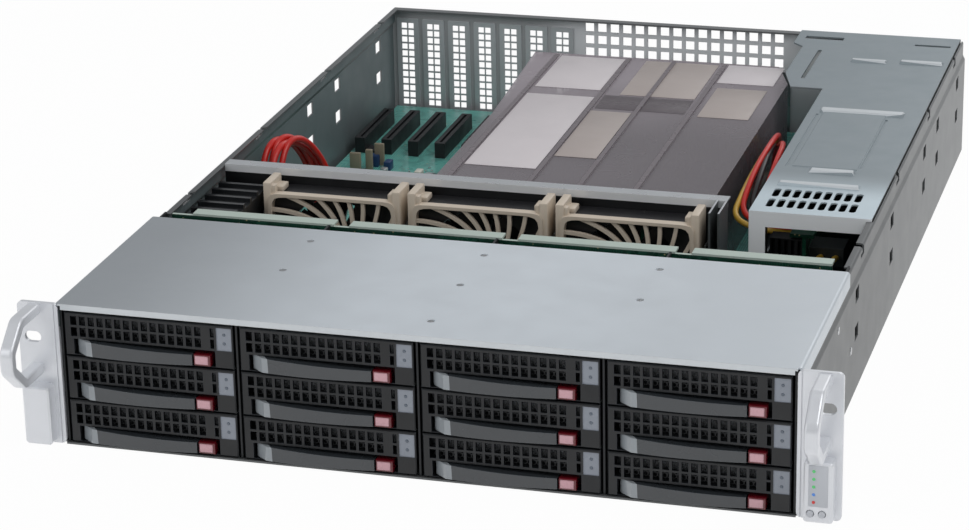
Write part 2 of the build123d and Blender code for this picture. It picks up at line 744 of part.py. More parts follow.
def strips(x0):
    """Stiffening strips on the backplane's top edge, one over each column, with gaps between."""
    top = BACKPLANE_Z + BACKPLANE_H
    y = (BACKPLANE_Y, BACKPLANE_Y + STRIP_D)
    pieces = []
    for column in range(COLS):
        edge = -COLS * COL_PITCH / 2 + column * COL_PITCH + STRIP_SHIFT
        start = max(x0 + 2 * BACKPLANE_SET, edge + STRIP_GAP)
        end = min(x0 + BACKPLANE_W, edge + COL_PITCH)
        pieces.append(block((start, end), y, (top, top + STRIP_H)))
    return pieces


def fan_bracket():
    """Front frame of a fan, with its swirl guard and the two latches that hold the fan."""
    low = SHEET + GAP
    face = centred(0, (FAN_TOP + low) / 2, FAN_W, FAN_TOP - low, 4.0)
    face = face - Pos(0, FAN_Z) * Circle(FAN_BORE_R)
    frame = along_y(face, FAN_FRONT, FAN_FRONT + FAN_FACE_T)
    guard = along_y(swirl_guard(), FAN_FRONT + 1, FAN_FRONT + 1 + GUARD_T)
    inner = FAN_FRAME_W / 2 + GAP / 3
    arm = block(
        (inner, inner + FAN_CLIP_W),
        (FAN_FRONT + 1, FAN_BACK - 4),
        (FAN_FRAME_TOP - FAN_CLIP_L, FAN_TOP + FAN_CLIP_H),
    )
    hook = block(
        (inner - FAN_CLIP_W, inner + 1),
        (FAN_FRONT + 9, FAN_BACK - 6),
        (FAN_FRAME_TOP + GAP / 3, FAN_TOP + 2),
    )
    thumb = block(
        (inner - FAN_CLIP_W / 2, inner + 1),
        (FAN_FRONT + 2, FAN_FRONT + 7),
        (FAN_TOP - 2, FAN_TOP + FAN_CLIP_H - 2),
    )
    notch = along_y(Pos(inner + FAN_CLIP_W, FAN_TOP) * Circle(2.2), FAN_FRONT, FAN_BACK)
    latch = arm + [hook, thumb] - notch
    return frame + [guard, latch, mirrored(latch)]


def fan_body():
    """Fan behind its bracket: square duct with waisted sides, motor plate on arms, and shaft."""
    low = SHEET + GAP
    front = FAN_FRONT + FAN_FACE_T
    frame = centred(0, (FAN_FRAME_TOP + low) / 2, FAN_FRAME_W, FAN_FRAME_TOP - low)
    body = along_y(frame - Pos(0, FAN_Z) * Circle(FAN_BORE_R), front, FAN_BACK)
    edge = FAN_FRAME_W / 2
    side = block((edge - 2, edge + 1), (front + 5, FAN_BACK - 5), (low + 6, FAN_FRAME_TOP - 6))
    motor = Pos(0, FAN_Z) * Circle(ROTOR_HUB_R - 1)
    for i in range(3):
        arm = Pos(FAN_BORE_R / 2, 0) * Rectangle(FAN_BORE_R + 1, 4)
        motor = motor + Pos(0, FAN_Z) * Rot(0, 0, 90 + 120 * i) * arm
    plate = along_y(motor, FAN_BACK - STATOR_T, FAN_BACK)
    shaft_front = FAN_BACK - STATOR_T - GAP - ROTOR_L / 2
    shaft = rod_y(0, FAN_Z, SHAFT_R, shaft_front, FAN_BACK - STATOR_T / 2)
    return body - [side, mirrored(side)] + plate + shaft


def swirl_guard():
    """Guard face: a hub disc and vanes that curve out to the bore."""
    guard = Pos(0, FAN_Z) * Circle(GUARD_HUB_R)
    reach = FAN_BORE_R + 1
    for i in range(GUARD_VANES):
        start = (0, 0)
        spine = ThreePointArc(start, (0.56 * reach, 0.26 * reach), (reach, 0))
        vane = make_face(offset(spine, GUARD_VANE_W / 2, side=Side.BOTH, kind=Kind.ARC))
        guard = guard + Pos(0, FAN_Z) * Rot(0, 0, 360 * i / GUARD_VANES) * vane
    return guard & Pos(0, FAN_Z) * Circle(reach)


def fan_rotor():
    """Hub with pitched blades, bored for the motor's shaft."""
    back = FAN_BACK - STATOR_T - GAP
    front = back - ROTOR_L
    middle = (front + back) / 2
    tip_r = FAN_BORE_R - ROTOR_TIP_GAP
    hub = rod_y(0, 0, ROTOR_HUB_R, front, back)
    hub = chamfer(hub.faces().sort_by(Axis.Y)[0].edges(), 2.0)
    blades = []
    for i in range(BLADES):
        sections = []
        for radius, chord, angle in (
            (ROTOR_HUB_R - 2, ROOT_CHORD, ROOT_ANGLE),
            (tip_r + 2, TIP_CHORD, TIP_ANGLE),
        ):
            plane = Plane(origin=(radius, middle, 0), x_dir=(0, 0, 1), z_dir=(1, 0, 0))
            sections.append(plane * Rot(0, 0, angle) * Rectangle(chord, BLADE_T))
        blade = loft(sections, ruled=True)
        blades.append(Rot(0, 360 * i / BLADES, 0) * blade)
    trim = rod_y(0, 0, tip_r, front, back)
    rotor = hub + [blade & trim for blade in blades]
    return rotor - rod_y(0, 0, SHAFT_R + SHAFT_FIT, middle - GAP, back + 1)


def fan_wall():
    """Sheet behind the fans with round openings, a hemmed top rail, guides and an end bracket."""
    left = WALL_LEFT
    face = centred((left + WALL_RIGHT) / 2, (SHEET + WALL_TOP_Z) / 2, WALL_RIGHT - left, WALL_TOP_Z - SHEET)
    for i in range(FAN_COUNT):
        face = face - Pos(fan_x(i), FAN_Z) * Circle(FAN_BORE_R)
    window = DATA_X + (DATA_COUNT - 1) * DATA_PITCH / 2
    width = DATA_COUNT * DATA_PITCH + 4 * DATA_R
    face = face - centred(window, DATA_Z, width, 36, 4)
    wall = along_y(face, WALL_Y, WALL_Y + SHEET)
    rail = block((left, WALL_RIGHT), (WALL_Y, WALL_Y + WALL_RAIL_D), (WALL_TOP_Z - SHEET, WALL_TOP_Z))
    hem = block((left, WALL_RIGHT), (WALL_Y, WALL_Y + 2 * SHEET), (WALL_TOP_Z - WALL_RAIL_H, WALL_TOP_Z))
    guides = [rail, hem]
    for i in range(FAN_COUNT + 1):
        x = fan_x(i) - FAN_PITCH / 2
        guides.append(block((x - SHEET / 2, x + SHEET / 2), (FAN_FRONT + 8, WALL_Y + SHEET / 2), (SHEET, 62)))
        for side in (-1, 1):
            ledge = (min(x, x + side * 4), max(x, x + side * 4))
            guides.append(block(ledge, (WALL_Y - 6, WALL_Y + SHEET / 2), (SHEET, 20)))
    for x in (WALL_RIGHT - SHEET, WALL_RIGHT - BRACKET_W):
        guides.append(block((x, x + SHEET), (FAN_FRONT + 2, WALL_Y + SHEET / 2), (SHEET, WALL_TOP_Z)))
    return wall + guides


def cable_tunnel():
    """Ribbed plastic cover that leads the data cables along the left wall, open at both ends."""
    x = (WALL_LEFT, WALL_LEFT + TUNNEL_W)
    front = PLUG_BACK + TUNNEL_FRONT
    back = WALL_Y - TUNNEL_BACK
    top = TUNNEL_TOP
    shell = block(x, (front, back), (SHEET, top))
    inner = (x[0] + TUNNEL_T, x[1] - TUNNEL_T)
    shell = shell - block(inner, (front - 1, back + 1), (0, top - TUNNEL_T))
    ribs = []
    pitch = (back - front) / TUNNEL_RIBS
    for i in range(TUNNEL_RIBS):
        y = front + pitch * (i + 0.5)
        ribs.append(block(x, (y - TUNNEL_T, y + TUNNEL_T), (top - TUNNEL_T / 2, top + 2 * TUNNEL_T)))
    return shell + ribs


def motherboard():
    """The main circuit board on its posts."""
    return block((MB_X, MB_X + MB_W), (MB_FRONT, MB_REAR), (MB_Z, MB_TOP))


def heat_sink(x0, y0):
    """A processor heat sink: base plate with upright fins along the air stream."""
    base = block((x0, x0 + SINK_W), (y0, y0 + SINK_W), (MB_TOP, MB_TOP + SINK_BASE))
    pitch = (SINK_W - SINK_FIN_T) / (SINK_FINS - 1)
    fins = []
    for i in range(SINK_FINS):
        x = x0 + i * pitch
        z = (MB_TOP + SINK_BASE / 2, MB_TOP + SINK_H)
        fins.append(block((x, x + SINK_FIN_T), (y0, y0 + SINK_W), z))
    return base + fins


def memory_bank(x0, y0):
    """A row of memory modules, each in its socket."""
    pieces = []
    for i in range(DIMM_COUNT):
        x = x0 + i * DIMM_PITCH
        y = (y0, y0 + DIMM_L)
        pieces.append(block((x, x + DIMM_SOCKET_W), y, (MB_TOP, MB_TOP + DIMM_SOCKET_H)))
        side = (DIMM_SOCKET_W - DIMM_T) / 2
        z = (MB_TOP + DIMM_SOCKET_H, MB_TOP + DIMM_H)
        pieces.append(block((x + side, x + side + DIMM_T), (y0 + 3, y0 + DIMM_L - 3), z))
    return pieces


def expansion_sockets():
    """Long sockets in line with the expansion slots, each with its card groove."""
    sockets = []
    for i in range(SLOT_COUNT - 1):
        x = slot_x(i)
        y1 = REAR_IN - EXP_SOCKET_BACK
        y0 = y1 - EXP_SOCKET_L
        body = block((x - EXP_SOCKET_W / 2, x + EXP_SOCKET_W / 2), (y0, y1), (MB_TOP, MB_TOP + EXP_SOCKET_H))
        groove = block((x - 1, x + 1), (y0 + 3, y1 - 3), (MB_TOP + 4, MB_TOP + EXP_SOCKET_H + 1))
        sockets.append(body - groove)
    return sockets


def rear_ports():
    """Connector plate in the rear window, and the connectors behind its holes."""
    plate = centred(IO_X + IO_W / 2, IO_Z + IO_H / 2, IO_W + 3, IO_H + 3)
    ports = []
    for x, width, height in REAR_PORTS:
        x0 = IO_X + x
        z0 = MB_TOP
        hole = centred(x0 + width / 2, z0 + height / 2, width + 2 * GAP, height + 2 * GAP)
        plate = plate - hole
        shell = block((x0, x0 + width), (REAR_IN - PORT_D, REAR_IN - GAP), (z0, z0 + height))
        mouth = block(
            (x0 + PORT_WALL, x0 + width - PORT_WALL),
            (REAR_IN - PORT_D / 2, REAR_IN + 1),
            (z0 + PORT_WALL, z0 + height - PORT_WALL),
        )
        ports.append(shell - mouth)
    return [along_y(plate, REAR_IN - IO_PLATE_T, REAR_IN)] + ports


def cable_sockets():
    """Sockets on the motherboard that take the data cables and the power leads."""
    top = MB_TOP + PLUG_H
    data_x = (DATA_END_X - 5, DATA_END_X + (DATA_COUNT - 1) * DATA_PITCH + 5)
    data = block(data_x, (DATA_END_Y - 5, DATA_END_Y + 5), (MB_TOP, MB_TOP + PLUG_H / 2))
    low = LEAD_END_Y - (LEAD_COUNT - 1) * LEAD_END_PITCH - 5
    lead_x = (LEAD_END_X - 5, LEAD_END_X + 5)
    return [data, block(lead_x, (low, LEAD_END_Y + 5), (MB_TOP, top))]


def board_parts():
    """Everything that stands on the motherboard, and the power board in the housing."""
    left = SHROUD_LEFT + 12
    right = SHROUD_RIGHT - 8
    first = MB_FRONT + BANK_FRONT
    second = first + DIMM_L + BANK_GAP
    pieces = [
        heat_sink(left, first + BANK_FRONT),
        heat_sink(right - SINK_W, second + BANK_FRONT),
    ]
    pieces += memory_bank(left + SINK_W + 14, first)
    pieces += memory_bank(left, second)
    pieces += expansion_sockets()
    pieces += rear_ports()
    pieces += cable_sockets()
    return pieces + power_board()


def air_shroud():
    """Duct over the processors: a thin hood, open at its front and rear, ribbed on top."""
    front = WALL_Y + WALL_RAIL_D + SHROUD_GAP
    rear = REAR_IN - SHROUD_ROOM
    base = MB_TOP + GAP
    outline = [
        (SHROUD_LEFT, front),
        (SHROUD_RIGHT, front),
        (SHROUD_RIGHT, rear - 40),
        (SHROUD_RIGHT - 14, rear),
        (SHROUD_LEFT - SHROUD_FLARE, rear),
        (SHROUD_LEFT, (front + rear) / 2),
    ]
    plan = make_face(Polyline(*outline, close=True))
    hood = upright(plan, base, SHROUD_TOP)
    core = offset(plan, -SHROUD_T)
    hollow = upright(core, base - 1, SHROUD_TOP - SHROUD_T)
    ends = []
    inner = (SHROUD_LEFT + SHROUD_T, SHROUD_RIGHT - SHROUD_T)
    ends.append(block(inner, (front - 1, front + 3), (base - 1, SHROUD_TOP - SHROUD_T)))
    back = (SHROUD_LEFT, SHROUD_RIGHT - 14 - 2 * SHROUD_T)
    ends.append(block(back, (rear - 3, rear + 1), (base - 1, SHROUD_TOP - SHROUD_T)))
    shell = hood - [hollow] - ends
    ribs = []
    for share in SHROUD_RIBS:
        x = SHROUD_LEFT + (SHROUD_RIGHT - SHROUD_LEFT) * share
        top = (SHROUD_TOP - SHROUD_T / 2, SHROUD_TOP + SHROUD_RIB)
        ribs.append(block((x - SHROUD_T, x + SHROUD_T), (front + 6, rear - 6), top))
    return shell + ribs


def psu_housing():
    """Cage of the power modules: two sides, a shelf, and a top with air grid and pressings."""
    y0 = HOUSING_FRONT
    left = (BAY_LEFT - SHEET, BAY_LEFT)
    right = (BAY_RIGHT, BAY_RIGHT + SHEET)
    middle = (BAY_LEFT + BAY_RIGHT) / 2
    roof = block((left[0], right[1]), (y0, REAR_IN), (HOUSING_TOP, HOUSING_TOP + SHEET)) + side_plate()
    holes = []
    for row in range(2):
        for column in range(GRID_COLS):
            x = middle - BEND + (column - (GRID_COLS - 1) / 2) * GRID_PITCH
            place = Pos(x, y0 + GRID_SET + row * GRID_ROW)
            holes.append(place * Rot(0, 0, 90) * SlotOverall(GRID_HOLE_L, GRID_HOLE_W))
    x, y, width, depth = TOP_SLOT
    slot = centred(middle + x * PSU_W, y0 + y * (REAR_IN - y0), width * PSU_W, depth)
    roof = roof - upright(Sketch() + holes + slot, HOUSING_TOP - 1, HOUSING_TOP + SHEET + 1)
    cage = roof + block(left, (y0, REAR_IN), (SHEET, HOUSING_TOP))
    cage = cage + block(right, (y0, REAR_IN), (SHEET, HOUSING_TOP))
    cage = cage + block((BAY_LEFT, BAY_RIGHT), (PSU_FRONT, REAR_IN), (SHELF_Z, SHELF_Z + SHEET))
    cage = cage + block((left[0], right[1]), (y0, y0 + SHEET), (HOUSING_TOP - HOUSING_LIP, HOUSING_TOP))
    cage = cage + block((left[0], left[0] + HOUSING_RETURN), (y0, y0 + SHEET), (SHEET, HOUSING_TOP))
    cage = cage + pressings(middle) - grooves(middle)
    row = (LEAD_START_Y - WINDOW_PITCH, LEAD_START_Y + LEAD_COUNT * WINDOW_PITCH)
    window = block((left[0] - 1, left[1] + 1), row, (LEAD_Z - PLUG_H, LEAD_Z + PLUG_H))
    return cage - window


def side_plate():
    """Flat plate that ties the housing's top to the rear wall, with one long slot."""
    edge = BAY_LEFT - SHEET
    front = REAR_IN - SIDE_PLATE_D
    outline = [
        (edge + SHEET, front),
        (edge - 0.7 * SIDE_PLATE_W, front),
        (edge - SIDE_PLATE_W, front + SIDE_PLATE_W),
        (edge - SIDE_PLATE_W, REAR_IN - SIDE_PLATE_TAIL - 8),
        (edge - SIDE_PLATE_W - 8, REAR_IN - SIDE_PLATE_TAIL),
        (edge - SIDE_PLATE_W - 8, REAR_IN),
        (edge + SHEET, REAR_IN),
    ]
    plate = make_face(Polyline(*outline, close=True))
    middle = edge - 0.56 * SIDE_PLATE_W
    slot = Pos(middle, front + 56) * Rot(0, 0, 90) * SlotOverall(SIDE_SLOT_L, SIDE_SLOT_W)
    rear_slot = centred(middle - 2, REAR_IN - 17, SIDE_PLATE_W - 4, 7)
    return upright(plate - slot - rear_slot, HOUSING_TOP, HOUSING_TOP + SHEET)


def pressings(middle):
    """Beads and the low panel pressed into the housing's top, drawn as what stands up from it."""
    base = HOUSING_TOP + SHEET / 2
    raised = []
    panel = PANEL_PRESSING + (PANEL_BEAD / 3,)
    for x, y, width, depth, height in [bead + (PANEL_BEAD,) for bead in BEADS] + [panel]:
        centre = (middle + x * PSU_W, HOUSING_FRONT + y * (REAR_IN - HOUSING_FRONT))
        foot = Pos(*centre) * Rectangle(width * PSU_W, depth)
        top = HOUSING_TOP + SHEET + height
        raised.append(chamfer(upright(foot, base, top).faces().sort_by(Axis.Z)[-1].edges(), 0.9 * height))
    return raised


def grooves(middle):
    """Two grooves beside the housing's raised panel."""
    cuts = []
    for x, y, length in GROOVES:
        foot = centred(middle + x * PSU_W, HOUSING_FRONT + y * (REAR_IN - HOUSING_FRONT), GROOVE_W, length)
        cuts.append(upright(foot, HOUSING_TOP + SHEET / 2, HOUSING_TOP + SHEET + PANEL_BEAD + 1))
    return cuts


def power_board():
    """Boards inside the housing's front: one upright with a plug on each side, one flat over it."""
    y0 = HOUSING_FRONT + 14
    x0 = POWER_BOARD_X
    x1 = x0 + BOARD_T
    z = (LEAD_Z - PLUG_H / 2, LEAD_Z + PLUG_H / 2)
    row = (LEAD_START_Y - LEAD_R - 1, LEAD_START_Y + (LEAD_COUNT - 1) * WINDOW_PITCH + LEAD_R + 1)
    front = (x0 - FRONT_BOARD_W / 2, x0 + FRONT_BOARD_W / 2)
    return [
        block((x0, x1), (y0, row[1] + 4), (SHEET, POWER_BOARD_H)),
        block((x0 - POWER_PLUG_L, x0), row, z),
        block((x1, x1 + 22), (y0 + 10, y0 + 30), z),
        block(front, (y0 - 2, y0 - 2 + FRONT_BOARD_D), (POWER_BOARD_H, POWER_BOARD_H + BOARD_T)),
        comb_socket(x0, y0 + 1),
    ]


def comb_socket(x1, y0):
    """Socket on the upright board's side, with a row of upright slots in its front."""
    low = POWER_BOARD_H - PLUG_H - BOARD_T
    x0 = x1 - COMB_W
    body = block((x0, x1), (y0, y0 + PLUG_H), (low, low + PLUG_H))
    pitch = COMB_W / COMB_TEETH
    slots = []
    for i in range(COMB_TEETH):
        x = x0 + pitch * (i + 0.5)
        depth = (y0 - 1, y0 + PLUG_H / 2)
        slots.append(block((x - pitch / 4, x + pitch / 4), depth, (low + 1, low + PLUG_H - 1)))
    return body - slots


def power_module(low):
    """One power supply: body with an inlet, a round air grille, a strap handle and a latch tab."""
    x0 = BAY_LEFT + PSU_FIT
    x1 = x0 + PSU_W
    body = block((x0, x1), (PSU_FRONT, REAR), (low, low + PSU_H))
    middle = low + PSU_H / 2
    inlet_x = x1 - INLET_W / 2 - 5
    inlet = along_y(centred(inlet_x, middle, INLET_W, INLET_H, 3.0), REAR - INLET_D, REAR + 1)
    fan_x0 = x0 + PSU_FAN_R + 3
    rings = []
    for radius in (PSU_FAN_R, 0.66 * PSU_FAN_R, 0.33 * PSU_FAN_R):
        ring = Circle(radius) - Circle(radius - 3.2)
        rings.append(Pos(fan_x0, middle) * ring)
    grille = along_y(Sketch() + rings, REAR - PSU_FAN_D, REAR + 1)
    strap_x = x0 + PSU_W / 2 + 1
    span = (middle - STRAP_H / 2, middle + STRAP_H / 2)
    outline = [(REAR, span[1]), (REAR + STRAP_REACH, span[1]), (REAR + STRAP_REACH, span[0]), (REAR, span[0])]
    skin = FilletPolyline(*outline, radius=6)
    side = Side.RIGHT
    shape = make_face(offset(skin, HANDLE_STRAP, side=side, closed=True))
    strap = along_x(shape, strap_x - STRAP_W / 2, strap_x + STRAP_W / 2)
    tab_z = low + PSU_H - 8
    tab = block((x0 + 2, x0 + 14), (REAR - 1, REAR + 9), (tab_z, tab_z + 3))
    return body - [inlet, grille] + [strap, tab]


def cable(points, radius):
    """A round cable: straight runs joined by arcs as large as the runs allow."""
    bends = []
    for before, here, after in zip(points, points[1:], points[2:]):
        ahead = Vector(*after) - Vector(*here)
        behind = Vector(*here) - Vector(*before)
        run = min(ahead.length, behind.length)
        half_turn = math.radians(ahead.get_angle(behind)) / 2
        bends.append(BEND_SHARE * run / math.tan(half_turn))
    print("cable bend radii:", [round(bend, 1) for bend in bends])
    path = FilletPolyline(*points, radius=bends)
    start = Plane(origin=path @ 0, z_dir=path % 0)
    tube = sweep(start * Circle(radius), path=path)
    print("cable length:", round(path.length, 1), "volume share:",
          round(tube.volume / (math.pi * radius ** 2 * path.length), 4))
    return tube


def data_route(index):
    """Corner points of a data cable: out of its plug, through the fan wall, over and down."""
    x = DATA_X + index * DATA_PITCH
    end_x = DATA_END_X + index * DATA_PITCH
    end_y = DATA_END_Y
    return [
        (x, PLUG_BACK, DATA_Z),
        (x, PLUG_BACK + 40, DATA_Z),
        (x + 0.5, WALL_Y - 2, DATA_Z + 3),
        (x - 1, end_y - 66, 45),
        (x + 1.5 * index, end_y - 48, 85),
        (end_x - 5, end_y - 16, 78),
        (end_x, end_y, 43),
        (end_x, end_y, MB_TOP + PLUG_H / 2),
    ]


def lead_route(index):
    """Corner points of a lead that runs from the power board to the motherboard."""
    x = LEAD_LEFT + index * LEAD_PITCH
    y = LEAD_START_Y + index * WINDOW_PITCH
    end_y = LEAD_END_Y - index * LEAD_END_PITCH
    return [
        (POWER_BOARD_X - POWER_PLUG_L, y, LEAD_Z),
        (x, y, LEAD_Z),
        (x - 0.5, y + 46, LEAD_Z + 22),
        (x, end_y - 60, LEAD_Z + 25),
        (LEAD_END_X, end_y, MB_TOP + PLUG_H + 27),
        (LEAD_END_X, end_y, MB_TOP + PLUG_H),
    ]


def front_lead_route(index):
    """Corner points of a lead that runs from the power board to the backplane."""
    x = FRONT_LEAD_X + index * 2 * LEAD_PITCH
    y = HOUSING_FRONT + 24
    run = (y - PLUG_BACK) / 3
    return [
        (x, y, LEAD_Z),
        (x, y - run, LEAD_Z),
        (x, PLUG_BACK + run, DATA_Z + 2),
        (x, PLUG_BACK, DATA_Z + 2),
    ]


def carriers():
    """Write every carrier with its lever and release button."""
    tray_solid = tray()
    drive_solid = drive()
    lever_solid = lever()
    button_solid = release_button()
    for row in range(ROWS):
        for column in range(COLS):
            place = Pos(column_x(column), CARRIER_Y, row_z(row))
            name = f"{row + 1}_{column + 1}"
            save(f"carrier_{name}", place * tray_solid, place * drive_solid)
            save(f"lever_{name}", place * lever_solid)
            save(f"release_{name}", place * button_solid)


def fans():
    """Write every fan housing and its rotor."""
    bracket = fan_bracket()
    body = fan_body()
    rotor = Pos(0, 0, FAN_Z) * fan_rotor()
    for i in range(FAN_COUNT):
        save(f"fan_{i + 1}", Pos(fan_x(i), 0, 0) * bracket, Pos(fan_x(i), 0, 0) * body)
        save(f"fan_rotor_{i + 1}", Pos(fan_x(i), 0, 0) * rotor)


def build():
    """Write every node of the chassis."""
    os.makedirs("parts", exist_ok=True)
    save("base_pan", base_pan())
    save("slot_covers", *[slot_cover(i) for i in range(SLOT_COUNT)])
    save("front_cover", front_cover())
    save("drive_cage", drive_cage())
    save("backplane", *backplane())
    save("fan_wall", fan_wall(), cable_tunnel())
    save("motherboard", motherboard())
    save("board_parts", *board_parts())
    save("psu_housing", psu_housing())
    save("left_ear", mirrored(rack_ear()), mirrored(ear_handle()), mirrored(ear_pod()))
    save("right_ear", rack_ear(), ear_handle(), control_pod())
    save("power_button", panel_button(PANEL_BUTTON_X[0]))
    save("reset_button", panel_button(PANEL_BUTTON_X[1]))
    save("air_shroud", air_shroud())
    save("power_module_upper", power_module(PSU_HIGH))
    save("power_module_lower", power_module(PSU_LOW))
    save("data_cables", *[cable(data_route(i), DATA_R) for i in range(DATA_COUNT)])
    leads = [cable(lead_route(i), LEAD_R) for i in range(LEAD_COUNT)]
    leads += [cable(front_lead_route(i), LEAD_R) for i in range(FRONT_LEAD_COUNT)]
    save("power_cables", *leads)
    carriers()
    fans()


build()
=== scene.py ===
"""Studio scene of a two-unit rackmount server chassis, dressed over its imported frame.

Lengths in the classes are millimetres, as on the drawing; MM turns them into metres.
X runs to the right seen from the front, Y to the rear and Z up, from the midpoint of the
underside in the plane where the rack ears seat.
"""

import logging
import math
import random
from dataclasses import dataclass
from enum import Enum
from typing import Iterable, Optional, Sequence, Union

import bmesh
import bpy
from mathutils import Matrix, Vector


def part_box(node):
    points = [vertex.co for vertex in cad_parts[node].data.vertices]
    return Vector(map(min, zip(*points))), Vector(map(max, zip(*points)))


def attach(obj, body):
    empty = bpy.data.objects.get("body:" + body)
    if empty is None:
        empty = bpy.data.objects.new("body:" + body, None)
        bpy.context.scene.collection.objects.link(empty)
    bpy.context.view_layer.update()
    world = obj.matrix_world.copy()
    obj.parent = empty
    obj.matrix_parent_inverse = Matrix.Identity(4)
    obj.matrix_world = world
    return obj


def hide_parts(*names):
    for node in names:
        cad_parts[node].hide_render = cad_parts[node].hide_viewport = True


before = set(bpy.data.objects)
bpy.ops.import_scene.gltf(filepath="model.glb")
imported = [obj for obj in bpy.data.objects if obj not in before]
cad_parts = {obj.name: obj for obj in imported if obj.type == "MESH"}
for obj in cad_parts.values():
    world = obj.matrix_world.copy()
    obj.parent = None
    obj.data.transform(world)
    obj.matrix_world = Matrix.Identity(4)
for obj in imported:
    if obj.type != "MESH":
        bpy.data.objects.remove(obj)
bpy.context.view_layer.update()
NODES: dict[str, bpy.types.Object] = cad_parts

MM = 0.001
LOG = logging.getLogger("server_chassis")

Pair = tuple[float, float]
Triple = tuple[float, float, float]
Color = tuple[float, float, float, float]
Region = tuple[Triple, Triple]
Socket = bpy.types.NodeSocket
Input = Union[Socket, float, Color]

WHITE: Color = (1.0, 1.0, 1.0, 1.0)
EDGE_FLAT = 0.995
EDGE_SHARP = 0.8
BUMP_STRENGTH = 0.7
HEX_ROW = 0.866


class Axis(Enum):
    """A direction of the case, as a turn that brings +Z onto it."""

    UP = (0.0, 0.0, 0.0)
    FRONT = (math.pi / 2, 0.0, 0.0)
    REAR = (-math.pi / 2, 0.0, 0.0)
    RIGHT = (0.0, math.pi / 2, 0.0)
    LEFT = (0.0, -math.pi / 2, 0.0)

    def matrix(self, centre: Triple) -> Matrix:
        """Turn that brings +Z onto the direction, moved to a place in millimetres."""
        turn = Matrix.Rotation(self.value[0], 4, "X") @ Matrix.Rotation(self.value[1], 4, "Y")
        return Matrix.Translation(Vector(centre) * MM) @ turn


def linear(rgb: Triple) -> Color:
    """Turn a colour written as 0 to 255 into the renderer's linear values.

    Args:
        rgb: Red, green and blue as they look on a screen.

    Returns:
        Linear red, green, blue and an alpha of 1.
    """
    def one(value: float) -> float:
        """Linear value of one channel."""
        share = min(max(value / 255.0, 0.0), 1.0)
        return share / 12.92 if share <= 0.04045 else ((share + 0.055) / 1.055) ** 2.4

    return (one(rgb[0]), one(rgb[1]), one(rgb[2]), 1.0)


class Graph:
    """Short calls for filling a shader or geometry node tree."""

    def __init__(self, tree: bpy.types.NodeTree) -> None:
        """Keep the tree that the calls fill."""
        self.tree = tree

    def add(self, kind: str, inputs: Optional[dict] = None, **settings: object) -> bpy.types.Node:
        """Add a node.

        Args:
            kind: Node type, such as "ShaderNodeBump".
            inputs: Values or output sockets, by input name or number.
            **settings: Attributes of the node itself.

        Returns:
            The new node.
        """
        node = self.tree.nodes.new(kind)
        for key, value in settings.items():
            setattr(node, key, value)
        for key, value in (inputs or {}).items():
            if isinstance(value, Socket):
                self.tree.links.new(value, node.inputs[key])
            else:
                node.inputs[key].default_value = value
        return node

    def join(self, source: Socket, target: Socket) -> None:
        """Link an output to an input."""
        self.tree.links.new(source, target)

    def math(self, operation: str, *values: Input) -> Socket:
        """Output of a math node with these values."""
        return self.add("ShaderNodeMath", dict(enumerate(values)), operation=operation).outputs[0]

    def noise(self, place: Socket, scale: float, detail: float) -> Socket:
        """Output of a noise texture, 0 to 1."""
        inputs = {"Vector": place, "Scale": scale, "Detail": detail}
        return self.add("ShaderNodeTexNoise", inputs).outputs["Fac"]

    def blend(self, share: Input, first: Input, second: Input) -> Socket:
        """Colour between two others."""
        inputs = {0: share, 6: first, 7: second}
        return self.add("ShaderNodeMix", inputs, data_type="RGBA").outputs[2]

    def ramp(self, value: Socket, start: Pair, end: Pair = (0.0, 1.0), **settings: object) -> Socket:
        """Bring a value from one range onto another.

        Args:
            value: The value.
            start: Range that it comes from.
            end: Range that it goes to.
            **settings: Attributes of the node.

        Returns:
            Value output.
        """
        inputs = dict(zip(("From Min", "From Max", "To Min", "To Max"), (*start, *end)))
        inputs["Value"] = value
        return self.add("ShaderNodeMapRange", inputs, **settings).outputs["Result"]


@dataclass(frozen=True)
class LightFade:
    """Painted light and shade: slow change of a finish's lightness along one direction of the case."""

    direction: str
    start: float
    end: float
    low: float
    high: float


